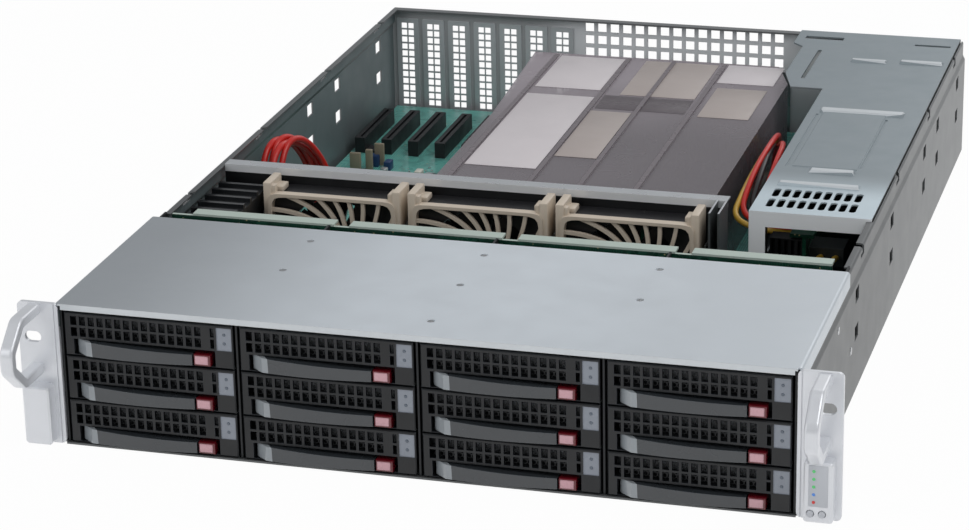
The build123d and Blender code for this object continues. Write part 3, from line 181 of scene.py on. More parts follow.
@dataclass(frozen=True)
class Finish:
    """A surface finish with mottled tone, fine grain, uneven gloss and paler edges, painted both as wear and as
    highlights where light catches them.

    Sizes are metres. The colour is written as it looks on a screen, 0 to 255.
    """

    name: str
    color: Triple
    rough: float = 0.5
    metal: float = 0.0
    tint: float = 0.06
    tint_size: float = 0.03
    grain: float = 0.00003
    grain_size: float = 0.0008
    gloss_spread: float = 0.06
    edge: float = 0.0004
    wear_and_glint: float = 0.12
    edge_shade: float = 2.2
    coat: float = 0.0
    stretch: Triple = (1.0, 1.0, 1.0)
    light_fades: tuple[LightFade, ...] = ()

    def shade(self, share: float) -> Color:
        """The finish's colour made lighter or darker by a share."""
        red, green, blue, _ = linear(self.color)
        return tuple(min(1.0, c * share) for c in (red, green, blue)) + (1.0,)

    def tone(self, graph: Graph, place: Socket) -> Socket:
        """Base colour before edge wear: slow mottling between two shades.

        Args:
            graph: The material's tree.
            place: Texture coordinates.

        Returns:
            Colour output.
        """
        cloud = graph.noise(place, 1.0 / self.tint_size, 4.0)
        return graph.blend(cloud, self.shade(1.0 - self.tint), self.shade(1.0 + self.tint))

    def light_faded(self, graph: Graph, place: Socket, tone: Socket) -> Socket:
        """Paint light and shade into the tone: lighter or darker along the finish's light fades.

        Args:
            graph: The material's tree.
            place: Object coordinates, in metres.
            tone: Colour before the fades.

        Returns:
            Colour output.
        """
        parts = graph.add("ShaderNodeSeparateXYZ", {0: place})
        for fade in self.light_fades:
            share = graph.ramp(
                parts.outputs[fade.direction], (fade.start * MM, fade.end * MM), (fade.low, fade.high),
                interpolation_type="SMOOTHSTEP",
            )
            scaled = graph.add("ShaderNodeVectorMath", {0: tone, "Scale": share}, operation="SCALE")
            tone = scaled.outputs["Vector"]
        return tone

    def relief(self, graph: Graph, place: Socket) -> Socket:
        """Height of the fine surface texture, 0 to 1.

        Args:
            graph: The material's tree.
            place: Texture coordinates.

        Returns:
            Value output.
        """
        return graph.noise(place, 1.0 / self.grain_size, 3.0)

    def extras(self, graph: Graph, place: Socket, shader: bpy.types.Node) -> None:
        """Room for a finish that sets more sockets of the shader."""

    def material(self) -> bpy.types.Material:
        """Build the material, or return it if it is there already.

        Returns:
            The node material of this finish.
        """
        title = "finish_" + self.name
        found = bpy.data.materials.get(title)
        if found:
            return found
        made = bpy.data.materials.new(title)
        made.use_nodes = True
        made.node_tree.nodes.clear()
        graph = Graph(made.node_tree)
        coords = graph.add("ShaderNodeTexCoord")
        mapped = graph.add("ShaderNodeMapping", {"Vector": coords.outputs["Object"], "Scale": self.stretch})
        place = mapped.outputs["Vector"]
        tone = self.light_faded(graph, coords.outputs["Object"], self.tone(graph, place))
        rounded = graph.add("ShaderNodeBevel", {"Radius": self.edge}, samples=4).outputs["Normal"]
        plain = graph.add("ShaderNodeNewGeometry").outputs["Normal"]
        turn = graph.add("ShaderNodeVectorMath", {0: rounded, 1: plain}, operation="DOT_PRODUCT")
        # Paler edges: partly wear, partly a painted highlight where light catches them.
        wear_and_glint_share = graph.ramp(turn.outputs["Value"], (EDGE_FLAT, EDGE_SHARP), (0.0, self.wear_and_glint))
        patch = graph.noise(place, 2.5 / self.tint_size, 2.0)
        spread = (max(0.02, self.rough - self.gloss_spread), min(1.0, self.rough + self.gloss_spread))
        bump = graph.add("ShaderNodeBump", {
            "Height": self.relief(graph, place), "Strength": BUMP_STRENGTH, "Distance": self.grain,
            "Normal": rounded,
        })
        shader = graph.add("ShaderNodeBsdfPrincipled", {
            "Base Color": graph.blend(wear_and_glint_share, tone, self.shade(self.edge_shade)),
            "Metallic": self.metal,
            "Roughness": graph.ramp(patch, (0.3, 0.7), spread),
            "Coat Weight": self.coat,
            "Normal": bump.outputs["Normal"],
        })
        self.extras(graph, place, shader)
        out = graph.add("ShaderNodeOutputMaterial")
        graph.join(shader.outputs["BSDF"], out.inputs["Surface"])
        return made


@dataclass(frozen=True)
class BrushedFinish(Finish):
    """Rolled or brushed metal, with fine streaks along its longest stretch."""

    streak: float = 0.25

    def relief(self, graph: Graph, place: Socket) -> Socket:
        """Streaks in place of round grain.

        Args:
            graph: The material's tree.
            place: Texture coordinates.

        Returns:
            Value output.
        """
        drawn = graph.add("ShaderNodeMapping", {"Vector": place, "Scale": (self.streak, 0.02, 1.0)})
        return graph.noise(drawn.outputs["Vector"], 1.0 / self.grain_size, 2.0)


@dataclass(frozen=True)
class BoardFinish(Finish):
    """Lacquered circuit board with copper tracks under the lacquer and small plated holes."""

    track_pitch: float = 0.0016
    track_share: float = 0.55
    hole_scale: float = 210.0
    plating: Triple = (190, 178, 130)

    def tone(self, graph: Graph, place: Socket) -> Socket:
        """Board colour with paler tracks in two directions and plated dots.

        Args:
            graph: The material's tree.
            place: Texture coordinates.

        Returns:
            Colour output.
        """
        area = graph.noise(place, 45.0, 1.0)
        tracks = []
        for direction, patch in (("X", (0.52, 0.56)), ("Y", (0.48, 0.44))):
            lines = graph.add(
                "ShaderNodeTexWave",
                {"Vector": place, "Scale": 0.314 / self.track_pitch, "Distortion": 1.5, "Detail": 0.0},
                bands_direction=direction,
            )
            sharp = graph.ramp(lines.outputs["Fac"], (0.55, 0.7))
            tracks.append(graph.math("MULTIPLY", sharp, graph.ramp(area, patch)))
        faint = graph.math("MULTIPLY", graph.math("MAXIMUM", *tracks), self.track_share)
        laid = graph.blend(faint, self.shade(0.9), self.shade(2.1))
        cells = graph.add("ShaderNodeTexVoronoi", {"Vector": place, "Scale": self.hole_scale})
        dots = graph.ramp(cells.outputs["Distance"], (0.13, 0.09), (0.0, 0.8))
        return graph.blend(dots, laid, linear(self.plating))


@dataclass(frozen=True)
class LevelFinish(Finish):
    """Finish with another tone above a level, as on a bright folded edge over a face painted dark for the shade
    under it.
    """

    upper: Triple = (200, 203, 206)
    level: float = 81.0

    def tone(self, graph: Graph, place: Socket) -> Socket:
        """Lower tone up to the level, and the upper one over it.

        Args:
            graph: The material's tree.
            place: Texture coordinates.

        Returns:
            Colour output.
        """
        below = super().tone(graph, place)
        parts = graph.add("ShaderNodeSeparateXYZ", {0: place})
        step = graph.ramp(parts.outputs["Z"], ((self.level - 0.1) * MM, (self.level + 0.1) * MM))
        return graph.blend(step, below, linear(self.upper))


@dataclass(frozen=True)
class SmokedFinish(Finish):
    """Thin tinted sheet that lets what lies under it show through."""

    alpha: float = 0.6

    def extras(self, graph: Graph, place: Socket, shader: bpy.types.Node) -> None:
        """Set how much of the light the sheet stops."""
        shader.inputs["Alpha"].default_value = self.alpha


@dataclass(frozen=True)
class LitFinish(Finish):
    """Indicator lens with a weak glow of its own."""

    glow: float = 0.6

    def extras(self, graph: Graph, place: Socket, shader: bpy.types.Node) -> None:
        """Add the glow in the lens's own colour."""
        shader.inputs["Emission Color"].default_value = linear(self.color)
        shader.inputs["Emission Strength"].default_value = self.glow


# Cover steel with painted light: darker on the left, a painted sheen brightest in the middle, darker again to
# the right.
COVER_STEEL_SHEEN = Finish("cover_steel", (204, 210, 215), rough=0.42, metal=0.45, tint=0.04, tint_size=0.05,
                     grain=0.00004, grain_size=0.0006, wear_and_glint=0.35,
                     light_fades=(LightFade("X", -215.0, -20.0, 0.68, 1.28), LightFade("X", 40.0, 200.0, 1.0, 0.84)))
CASE_STEEL = Finish("zinc_steel", (130, 133, 133), rough=0.4, metal=0.6, tint=0.06, tint_size=0.04,
                    grain=0.00003, grain_size=0.0009, wear_and_glint=0.3)
# Pan steel with painted light: lighter towards the rear.
WALL_STEEL_LIT = Finish("wall_steel_painted_light", (108, 110, 111), rough=0.42, metal=0.5, gloss_spread=0.02,
                    tint=0.02, tint_size=0.04, grain=0.00003, grain_size=0.0009, wear_and_glint=0.3,
                    light_fades=(LightFade("Y", 100.0, 640.0, 0.9, 1.35),))
# Painted shade: a darker copy of the case steel for the inner faces of the side walls.
INNER_SHADE_STEEL = Finish("inner_painted_shade", (118, 129, 131), rough=0.5, metal=0.3, tint=0.1, tint_size=0.05, wear_and_glint=0.2)
# Painted shade: a dark steel tone for the floor inside the case, the inside of the power housing's mouth, its
# side plate and grooves, and the module fronts.
HOUSE_SHADE = Finish("house_painted_shade", (58, 62, 63), rough=0.5, metal=0.4, tint=0.1, tint_size=0.05, wear_and_glint=0.2)
GUIDE_STEEL = Finish("guide_steel", (92, 96, 97), rough=0.45, metal=0.4, tint=0.1, tint_size=0.05, wear_and_glint=0.3)
# Painted light: the rear wall's inner face is near white to stand for light it does not get, with painted shade
# towards the left.
REAR_LIT_STEEL = Finish("rear_steel_painted_light", (236, 238, 240), rough=0.5, metal=0.0, tint=0.05, tint_size=0.05, wear_and_glint=0.1,
                    light_fades=(LightFade("X", -110.0, -60.0, 0.5, 1.0),))
# Painted shade: the fan wall's front face under the rail is near black, with the bright folded edge above.
RAIL_FRONT_SHADE = LevelFinish("rail_front_painted_shade", (26, 27, 29), rough=0.4, metal=0.3, tint=0.1, wear_and_glint=0.1,
                         upper=(236, 238, 240), level=80.6)
# Housing steel with painted light: much lighter towards its front.
HOUSING_STEEL_LIT = Finish("housing_steel_painted_light", (148, 158, 163), rough=0.42, metal=0.5, tint=0.04, tint_size=0.05,
                       grain=0.00004, grain_size=0.0006, wear_and_glint=0.35, light_fades=(LightFade("Y", 330.0, 275.0, 1.0, 2.1),))
# Painted light: the housing's front lip is near white to stand for light on a front face.
LIP_LIGHT = Finish("lip_painted_light", (240, 243, 245), rough=0.45, metal=0.0, tint=0.04, wear_and_glint=0.1)
# Painted highlight: pale steel on the housing beads, the cover's front fold and the housing tab.
BEAD_HIGHLIGHT = Finish("bead_painted_highlight", (214, 219, 222), rough=0.35, metal=0.4, tint=0.04, wear_and_glint=0.3)
# Painted highlight: a brighter copy of the steel on the fan wall's rail and on the guide's top.
LIT_STEEL = BrushedFinish("bright_steel", (206, 209, 212), rough=0.3, metal=0.7, tint=0.05, wear_and_glint=0.2)
STRIP_STEEL = Finish("strip_steel", (206, 210, 212), rough=0.4, metal=0.3, tint=0.06, wear_and_glint=0.3)
EAR_SILVER = Finish("ear_silver", (232, 234, 238), rough=0.34, metal=0.4, tint=0.02, grain=0.00001,
                    wear_and_glint=0.06, coat=0.3)
PANEL_GREY = Finish("panel_grey", (208, 211, 216), rough=0.35, tint=0.03, coat=0.3)
# Black bezel plastic; its strong pale edge tone is a painted highlight.
BEZEL_BLACK = Finish("bezel_black", (20, 22, 25), rough=0.42, tint=0.15, grain=0.00006, grain_size=0.0007,
                     edge=0.0005, wear_and_glint=0.75, edge_shade=9.0)
# Lever plastic; its pale edge tone is a painted highlight.
LEVER_BLACK = Finish("lever_black", (54, 58, 62), rough=0.24, tint=0.1, grain=0.00001, coat=0.6, edge=0.0006,
                     wear_and_glint=0.6, edge_shade=4.0)
# Painted highlight: a pale copy of the lever plastic on the lever's rounded left end.
LEVER_END_HIGHLIGHT = Finish("lever_end_highlight", (156, 162, 166), rough=0.22, tint=0.1, grain=0.00001, coat=0.6, edge=0.0008,
                   wear_and_glint=0.6, edge_shade=1.6)
PAD_GREY = Finish("light_pad", (146, 152, 162), rough=0.25, tint=0.05, coat=0.4)
RELEASE_RED = Finish("release_red", (104, 16, 28), rough=0.28, tint=0.08, coat=0.5, wear_and_glint=0.3)
# Painted highlight: a pale pink cap on each release button stands for the light on its front, darker towards
# its edges.
RELEASE_HIGHLIGHT = Finish("release_painted_highlight", (222, 172, 180), rough=0.3, tint=0.06, tint_size=0.004,
                      coat=0.5, edge=0.0009, wear_and_glint=0.8, edge_shade=0.5)
CAGE_BLACK = Finish("cage_black", (40, 42, 44), rough=0.55, metal=0.2, tint=0.12)
DRIVE_METAL = Finish("drive_metal", (140, 144, 148), rough=0.38, metal=0.7, tint=0.08)
BACKPLANE_GREEN = BoardFinish("backplane_green", (18, 60, 46), rough=0.3, coat=0.4)
STRIP_PALE = Finish("backplane_strip", (186, 200, 190), rough=0.35, tint=0.06, tint_size=0.01, wear_and_glint=0.1)
BOARD_TEAL = BoardFinish("board_teal", (98, 168, 158), rough=0.3, coat=0.4)
BOARD_EDGE = Finish("board_edge", (176, 190, 172), rough=0.5, tint=0.12, tint_size=0.004)
FAN_BEIGE = Finish("fan_beige", (214, 200, 182), rough=0.4, tint=0.05, grain=0.00005)
TUNNEL_BLACK = Finish("tunnel_black", (24, 26, 29), rough=0.35, tint=0.15, coat=0.3, wear_and_glint=0.15)
FAN_DARK = Finish("fan_dark", (30, 30, 32), rough=0.4, tint=0.1, coat=0.2)
SOCKET_BLACK = Finish("socket_black", (28, 29, 31), rough=0.5, tint=0.15)
PLUG_BLUE = Finish("plug_blue", (34, 62, 104), rough=0.4, tint=0.06)
PLUG_TAN = Finish("plug_tan", (146, 136, 116), rough=0.45, tint=0.08, tint_size=0.004)
SOCKET_WHITE = Finish("socket_white", (222, 220, 208), rough=0.45, tint=0.05)
TIN = Finish("tin", (196, 198, 200), rough=0.3, metal=0.85, tint=0.06)
SINK_ALUMINIUM = BrushedFinish("sink_aluminium", (196, 198, 200), rough=0.32, metal=0.85, tint=0.05)
# Smoked shroud plastic with painted light: darker to the right and much lighter towards the rear.
SHROUD_SMOKE_LIT = SmokedFinish("shroud_smoke_painted_light", (142, 133, 139), rough=0.24, tint=0.14, tint_size=0.07,
                            grain=0.00002, coat=0.3, wear_and_glint=0.4, alpha=0.74,
                            light_fades=(LightFade("X", 104.0, -84.0, 0.68, 0.86), LightFade("Y", 400.0, 560.0, 1.0, 1.9)))
SHROUD_FROST = SmokedFinish("shroud_frost", (226, 219, 221), rough=0.4, tint=0.06, tint_size=0.03, alpha=0.94)
SHROUD_WARM = SmokedFinish("shroud_warm", (190, 179, 174), rough=0.4, tint=0.07, tint_size=0.03, alpha=0.92)
# Painted shade: a dark translucent panel laid on the shroud where shade falls.
SHROUD_SHADE_PANEL = SmokedFinish("shroud_painted_shade", (124, 116, 121), rough=0.35, tint=0.1, tint_size=0.02, alpha=0.5)
# Painted shade: a darker tone on the shroud's raised ribs.
SHROUD_RIB_SHADE = SmokedFinish("shroud_rib_painted_shade", (122, 113, 118), rough=0.3, tint=0.08, alpha=0.95)
SHEATH_RED = Finish("sheath_red", (206, 34, 24), rough=0.38, tint=0.08, coat=0.2)
SHEATH_YELLOW = Finish("sheath_yellow", (206, 164, 56), rough=0.4, tint=0.08, coat=0.2)
SHEATH_BLACK = Finish("sheath_black", (30, 28, 30), rough=0.4, tint=0.1, coat=0.2)
LENS_GREEN = LitFinish("lens_green", (96, 200, 120), rough=0.2, glow=0.25)
LENS_RED = LitFinish("lens_red", (204, 60, 56), rough=0.2, glow=0.2)
LENS_BLUE = LitFinish("lens_blue", (90, 140, 214), rough=0.2, glow=0.2)
LENS_GREY = LitFinish("lens_grey", (96, 106, 118), rough=0.15, coat=0.5, glow=0.02)
SCREW_STEEL = Finish("screw_steel", (176, 178, 180), rough=0.28, metal=0.85, tint=0.08, edge=0.0002)


def dress(node: str, finish: Finish) -> bpy.types.Object:
    """Give a CAD node one finish.

    Args:
        node: Name of the node.
        finish: Finish of its whole surface.

    Returns:
        The node's object.
    """
    part = NODES[node]
    part.data.materials.clear()
    part.data.materials.append(finish.material())
    return part


def dress_regions(node: str, base: Finish, regions: Sequence[tuple[Finish, Region]]) -> bpy.types.Object:
    """Give a CAD node a base finish, and others to the faces inside given boxes.

    Args:
        node: Name of the node.
        base: Finish of every face outside the boxes.
        regions: Pairs of a finish and its box, as low and high corners; later ones win.

    Returns:
        The node's object.
    """
    part = dress(node, base)
    for finish, _ in regions:
        part.data.materials.append(finish.material())
    boxes = [(Vector(low) * MM, Vector(high) * MM) for _, (low, high) in regions]
    for face in part.data.polygons:
        face.material_index = 0
        for index, (low, high) in enumerate(boxes, start=1):
            if all(low[i] <= face.center[i] <= high[i] for i in range(3)):
                face.material_index = index
    return part


def new_piece(name: str, mesh: bpy.types.Mesh, finish: Optional[Finish], body: str) -> bpy.types.Object:
    """Put a mesh into the scene as a piece that rides on a body.

    Args:
        name: Name of the piece.
        mesh: Its mesh, in metres in the case's frame.
        finish: Its finish, or None where the mesh has its own.
        body: The body that carries it.

    Returns:
        The new object.
    """
    piece = bpy.data.objects.new(name, mesh)
    bpy.context.scene.collection.objects.link(piece)
    if finish:
        mesh.materials.clear()
        mesh.materials.append(finish.material())
    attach(piece, body)
    LOG.info("%s on %s, %d faces", name, body, len(mesh.polygons))
    return piece


class Shaper:
    """Collects simple forms in one mesh."""

    def __init__(self) -> None:
        """Start with an empty mesh."""
        self.form = bmesh.new()

    def block(self, low: Triple, high: Triple, bevel: float = 0.0) -> "Shaper":
        """Add a block with rounded edges.

        Args:
            low: Lowest corner, in millimetres.
            high: Highest corner, in millimetres.
            bevel: Width of the edge rounding, in millimetres.

        Returns:
            The shaper itself.
        """
        size = [high[i] - low[i] for i in range(3)]
        middle = [(high[i] + low[i]) / 2 for i in range(3)]
        matrix = Matrix.Translation(Vector(middle) * MM) @ Matrix.Diagonal((*[s * MM for s in size], 1.0))
        made = bmesh.ops.create_cube(self.form, size=1.0, matrix=matrix)
        if bevel:
            edges = list({edge for vert in made["verts"] for edge in vert.link_edges})
            bmesh.ops.bevel(self.form, geom=edges, offset=bevel * MM, segments=2, affect="EDGES", profile=0.5)
        return self

    def disc(self, centre: Triple, radius: float, height: float, axis: Axis = Axis.UP, sides: int = 24,
             taper: float = 1.0) -> "Shaper":
        """Add a round solid.

        Args:
            centre: Middle of its foot, in millimetres.
            radius: Radius of the foot, in millimetres.
            height: Height along its axis, in millimetres.
            axis: Direction in which it stands.
            sides: Number of sides.
            taper: Radius of the top over that of the foot.

        Returns:
            The shaper itself.
        """
        matrix = axis.matrix(centre) @ Matrix.Translation((0, 0, height * MM / 2))
        bmesh.ops.create_cone(
            self.form, cap_ends=True, segments=sides, radius1=radius * MM, radius2=radius * taper * MM,
            depth=height * MM, matrix=matrix,
        )
        return self

    def frame(self, outer: Sequence[Pair], inner: Sequence[Pair],
              depth: Pair) -> "Shaper":
        """Add an upright plate with an opening, between two outlines with as many points.

        Args:
            outer: Outline, as X and Z in millimetres.
            inner: Outline of the opening, from the same direction on.
            depth: Front and back of the plate along Y, in millimetres.

        Returns:
            The shaper itself.
        """
        loops = [[self.form.verts.new(Vector((x, y, z)) * MM) for x, z in line] for line in (outer, inner)
                 for y in depth]
        count = len(outer)
        for one, two in ((0, 1), (1, 3), (3, 2), (2, 0)):
            for k in range(count):
                n = (k + 1) % count
                self.form.faces.new((loops[one][k], loops[one][n], loops[two][n], loops[two][k]))
        return self

    def ribbon(self, spine: Sequence[Pair], width: float, depth: Pair) -> "Shaper":
        """Add a strip that stands on edge along a spine.

        Args:
            spine: Points along its middle, as X and Z in millimetres.
            width: Width across the spine, in millimetres.
            depth: Front and back of the strip along Y, in millimetres.

        Returns:
            The shaper itself.
        """
        rows = []
        for index, (x, z) in enumerate(spine):
            before, after = spine[max(index - 1, 0)], spine[min(index + 1, len(spine) - 1)]
            run, rise = after[0] - before[0], after[1] - before[1]
            size = math.hypot(run, rise) * 2 / width
            rows.append([
                self.form.verts.new(Vector((x - side * rise / size, y, z + side * run / size)) * MM)
                for side, y in ((1, depth[0]), (-1, depth[0]), (-1, depth[1]), (1, depth[1]))
            ])
        for one, two in zip(rows, rows[1:]):
            for k in range(4):
                self.form.faces.new((one[k], one[(k + 1) % 4], two[(k + 1) % 4], two[k]))
        self.form.faces.new(rows[0])
        self.form.faces.new(rows[-1])
        return self

    def mesh(self, name: str, smooth: float = 0.6) -> bpy.types.Mesh:
        """Finish the collected forms as a mesh.

        Args:
            name: Name of the mesh.
            smooth: Angle in radians under which edges are shaded smooth.

        Returns:
            The mesh, with its normals outward.
        """
        bmesh.ops.recalc_face_normals(self.form, faces=self.form.faces)
        made = bpy.data.meshes.new(name)
        self.form.to_mesh(made)
        self.form.free()
        made.shade_smooth()
        made.set_sharp_from_angle(angle=smooth)
        return made


def node_group(title: str, inputs: dict[str, str]) -> Graph:
    """Start a Geometry Nodes tree with named inputs and one geometry output.

    Args:
        title: Name of the tree.
        inputs: Kind of each input, such as "Float", by its name.

    Returns:
        The graph of the tree.
    """
    tree = bpy.data.node_groups.new(title, "GeometryNodeTree")
    for name, kind in inputs.items():
        tree.interface.new_socket(name, in_out="INPUT", socket_type="NodeSocket" + kind)
    tree.interface.new_socket("Geometry", in_out="OUTPUT", socket_type="NodeSocketGeometry")
    return Graph(tree)


def block_piece(name: str, low: Triple, high: Triple, bevel: float, finish: Finish, body: str) -> None:
    """Put one block with rounded edges into the scene.

    Args:
        name: Name of the piece.
        low: Lowest corner, in millimetres.
        high: Highest corner, in millimetres.
        bevel: Width of the edge rounding, in millimetres.
        finish: Finish of the piece.
        body: The body that carries it.
    """
    new_piece(name, Shaper().block(low, high, bevel).mesh(name), finish, body)


class Repeater:
    """Geometry Nodes tree that sets one form on every point of a mesh."""

    TREE = "form_on_points"

    def tree(self) -> bpy.types.NodeTree:
        """Build the tree, or return it if it is there already.

        Returns:
            The node tree, with inputs Form, Size, Turn, Jitter, Spin, Seed and Finish.
        """
        found = bpy.data.node_groups.get(self.TREE)
        if found:
            return found
        graph = node_group(self.TREE, {
            "Geometry": "Geometry", "Form": "Object", "Size": "Float", "Turn": "Vector", "Jitter": "Float",
            "Spin": "Float", "Seed": "Int", "Finish": "Material",
        })
        given = graph.add("NodeGroupInput").outputs
        form = graph.add("GeometryNodeObjectInfo", {"Object": given["Form"]})
        chance = graph.add("FunctionNodeRandomValue", {"Seed": given["Seed"]}, data_type="FLOAT")
        for operation, socket in (("SUBTRACT", 2), ("ADD", 3)):
            graph.join(graph.math(operation, 1.0, given["Jitter"]), chance.inputs[socket])
        size = graph.math("MULTIPLY", chance.outputs[1], given["Size"])
        angle = graph.add("FunctionNodeRandomValue", {"Seed": given["Seed"]}, data_type="FLOAT")
        graph.join(given["Spin"], angle.inputs[3])
        about = graph.add("ShaderNodeCombineXYZ", {2: angle.outputs[1]})
        spread = graph.add("GeometryNodeInstanceOnPoints", {
            "Points": given["Geometry"],
            "Instance": form.outputs["Geometry"],
            "Rotation": given["Turn"],
            "Scale": size,
        })
        spun = graph.add("GeometryNodeRotateInstances", {
            "Instances": spread.outputs["Instances"],
            "Rotation": about.outputs[0],
        })
        real = graph.add("GeometryNodeRealizeInstances", {"Geometry": spun.outputs["Instances"]})
        finished = graph.add("GeometryNodeSetMaterial", {
            "Geometry": real.outputs["Geometry"],
            "Material": given["Finish"],
        })
        out = graph.add("NodeGroupOutput")
        graph.join(finished.outputs["Geometry"], out.inputs[0])
        return graph.tree

    def spread(self, name: str, form: bpy.types.Mesh, points: Iterable[Triple], finish: Finish, body: str,
               axis: Axis = Axis.UP, jitter: float = 0.0, spin: float = 0.0, seed: int = 1) -> bpy.types.Object:
        """Set a form on points and keep the result as one plain piece.

        Args:
            name: Name of the piece.
            form: Mesh of the form, standing on its origin along +Z, in metres.
            points: Places in millimetres.
            finish: Finish of the piece.
            body: The body that carries it.
            axis: Direction in which the forms stand.
            jitter: Share by which sizes differ.
            spin: Largest random turn about the form's axis, in radians.
            seed: Seed of the random values.

        Returns:
            The piece.
        """
        places = bpy.data.meshes.new(name + "_points")
        places.from_pydata([tuple(Vector(p) * MM) for p in points], [], [])
        holder = bpy.data.objects.new(name + "_holder", places)
        model = bpy.data.objects.new(name + "_form", form)
        for item in (holder, model):
            bpy.context.scene.collection.objects.link(item)
        modifier = holder.modifiers.new("spread", "NODES")
        modifier.node_group = self.tree()
        values = {
            "Form": model, "Size": 1.0, "Turn": axis.value, "Jitter": jitter, "Spin": spin, "Seed": seed,
            "Finish": finish.material(),
        }
        made = plain_mesh(holder, modifier, values, name)
        bpy.data.objects.remove(holder)
        bpy.data.objects.remove(model)
        return new_piece(name, made, None, body)


def plain_mesh(holder: bpy.types.Object, modifier: bpy.types.Modifier, values: dict,
               name: str) -> bpy.types.Mesh:
    """Set a Geometry Nodes modifier's inputs and return its result as a plain mesh.

    Args:
        holder: Object that carries the modifier.
        modifier: The modifier.
        values: Inputs by the name of their socket.
        name: Name of the mesh.

    Returns:
        The evaluated mesh.
    """
    for item in modifier.node_group.interface.items_tree:
        if item.item_type == "SOCKET" and item.in_out == "INPUT" and item.name in values:
            modifier[item.identifier] = values[item.name]
    bpy.context.view_layer.update()
    graph = bpy.context.evaluated_depsgraph_get()
    made = bpy.data.meshes.new_from_object(holder.evaluated_get(graph))
    made.name = name
    holder.modifiers.remove(modifier)
    return made


class Honeycomb:
    """Geometry Nodes tree that makes a flat sheet of six-sided holes."""

    TREE = "honeycomb_sheet"

    def tree(self) -> bpy.types.NodeTree:
        """Build the tree, or return it if it is there already.

        Returns:
            The node tree, with inputs Width, Height, Columns, Rows, Open, Depth and Finish.
        """
        found = bpy.data.node_groups.get(self.TREE)
        if found:
            return found
        graph = node_group(self.TREE, {
            "Width": "Float", "Height": "Float", "Columns": "Int", "Rows": "Int", "Open": "Float",
            "Depth": "Float", "Finish": "Material",
        })
        given = graph.add("NodeGroupInput").outputs
        grid = graph.add("GeometryNodeMeshGrid", {
            "Size X": given["Width"], "Size Y": given["Height"],
            "Vertices X": given["Columns"], "Vertices Y": given["Rows"],
        })
        place = graph.add("GeometryNodeInputPosition")
        parts = graph.add("ShaderNodeSeparateXYZ", {0: place.outputs[0]})
        pitch_y = graph.math("DIVIDE", given["Height"], given["Rows"])
        row = graph.math("ROUND", graph.math("DIVIDE", parts.outputs["Y"], pitch_y))
        odd = graph.math("FLOORED_MODULO", row, 2.0)
        half = graph.math("MULTIPLY", graph.math("DIVIDE", given["Width"], given["Columns"]), 0.5)
        offset = graph.add("ShaderNodeCombineXYZ", {0: graph.math("MULTIPLY", half, odd)})
        moved = graph.add("GeometryNodeSetPosition", {"Geometry": grid.outputs[0], "Offset": offset.outputs[0]})
        cut = graph.add("GeometryNodeTriangulate", {"Mesh": moved.outputs[0]})
        cells = graph.add("GeometryNodeDualMesh", {"Mesh": cut.outputs[0]})
        inset = graph.add("GeometryNodeExtrudeMesh", {"Mesh": cells.outputs[0], "Offset Scale": 0.0})
        inset.inputs["Individual"].default_value = True
        shrunk = graph.add("GeometryNodeScaleElements", {
            "Geometry": inset.outputs["Mesh"], "Selection": inset.outputs["Top"], "Scale": given["Open"],
        })
        opened = graph.add("GeometryNodeDeleteGeometry", {
            "Geometry": shrunk.outputs[0], "Selection": inset.outputs["Top"],
        }, domain="FACE")
        thick = graph.add("GeometryNodeExtrudeMesh", {
            "Mesh": opened.outputs[0], "Offset Scale": given["Depth"],
        })
        thick.inputs["Individual"].default_value = False
        finished = graph.add("GeometryNodeSetMaterial", {
            "Geometry": thick.outputs["Mesh"], "Material": given["Finish"],
        })
        real = graph.add("GeometryNodeRealizeInstances", {"Geometry": finished.outputs[0]})
        out = graph.add("NodeGroupOutput")
        graph.join(real.outputs[0], out.inputs[0])
        return graph.tree

    def sheet(self, name: str, width: float, height: float, cell: float, open_share: float, depth: float,
              finish: Finish) -> bpy.types.Mesh:
        """Make one sheet, flat about its own middle.

        Args:
            name: Name of the mesh.
            width: Size along X, in millimetres.
            height: Size along Y, in millimetres.
            cell: Pitch of the holes, in millimetres.
            open_share: Size of a hole over that of its cell.
            depth: Thickness, in millimetres.
            finish: Finish of the sheet.

        Returns:
            The sheet's mesh.
        """
        columns = max(3, round(width / cell))
        rows = max(3, round(height / (cell * HEX_ROW)))
        holder = bpy.data.objects.new(name + "_holder", bpy.data.meshes.new(name + "_start"))
        bpy.context.scene.collection.objects.link(holder)
        modifier = holder.modifiers.new("holes", "NODES")
        modifier.node_group = self.tree()
        values = {
            "Width": width * MM, "Height": height * MM, "Columns": columns, "Rows": rows,
            "Open": open_share, "Depth": depth * MM, "Finish": finish.material(),
        }
        made = plain_mesh(holder, modifier, values, name)
        bpy.data.objects.remove(holder)
        return made


@dataclass(frozen=True)
class Outline:
    """Round or rounded-square outline in the XZ plane, sampled by angle."""

    x: float
    z: float
    half_width: float
    half_height: float
    square: float = 2.0
    sides: int = 120

    def points(self) -> list[Pair]:
        """Points of the outline, counted from +X towards +Z."""
        made = []
        for k in range(self.sides):
            angle = 2 * math.pi * k / self.sides
            reach = self.reach(math.cos(angle), math.sin(angle)) ** (-1 / self.square)
            made.append((self.x + reach * math.cos(angle), self.z + reach * math.sin(angle)))
        return made

    def reach(self, run: float, rise: float) -> float:
        """Measure of an offset from the middle, 1 on the outline."""
        return (abs(run) / self.half_width) ** self.square + (abs(rise) / self.half_height) ** self.square


REPEATER = Repeater()
HONEYCOMB = Honeycomb()


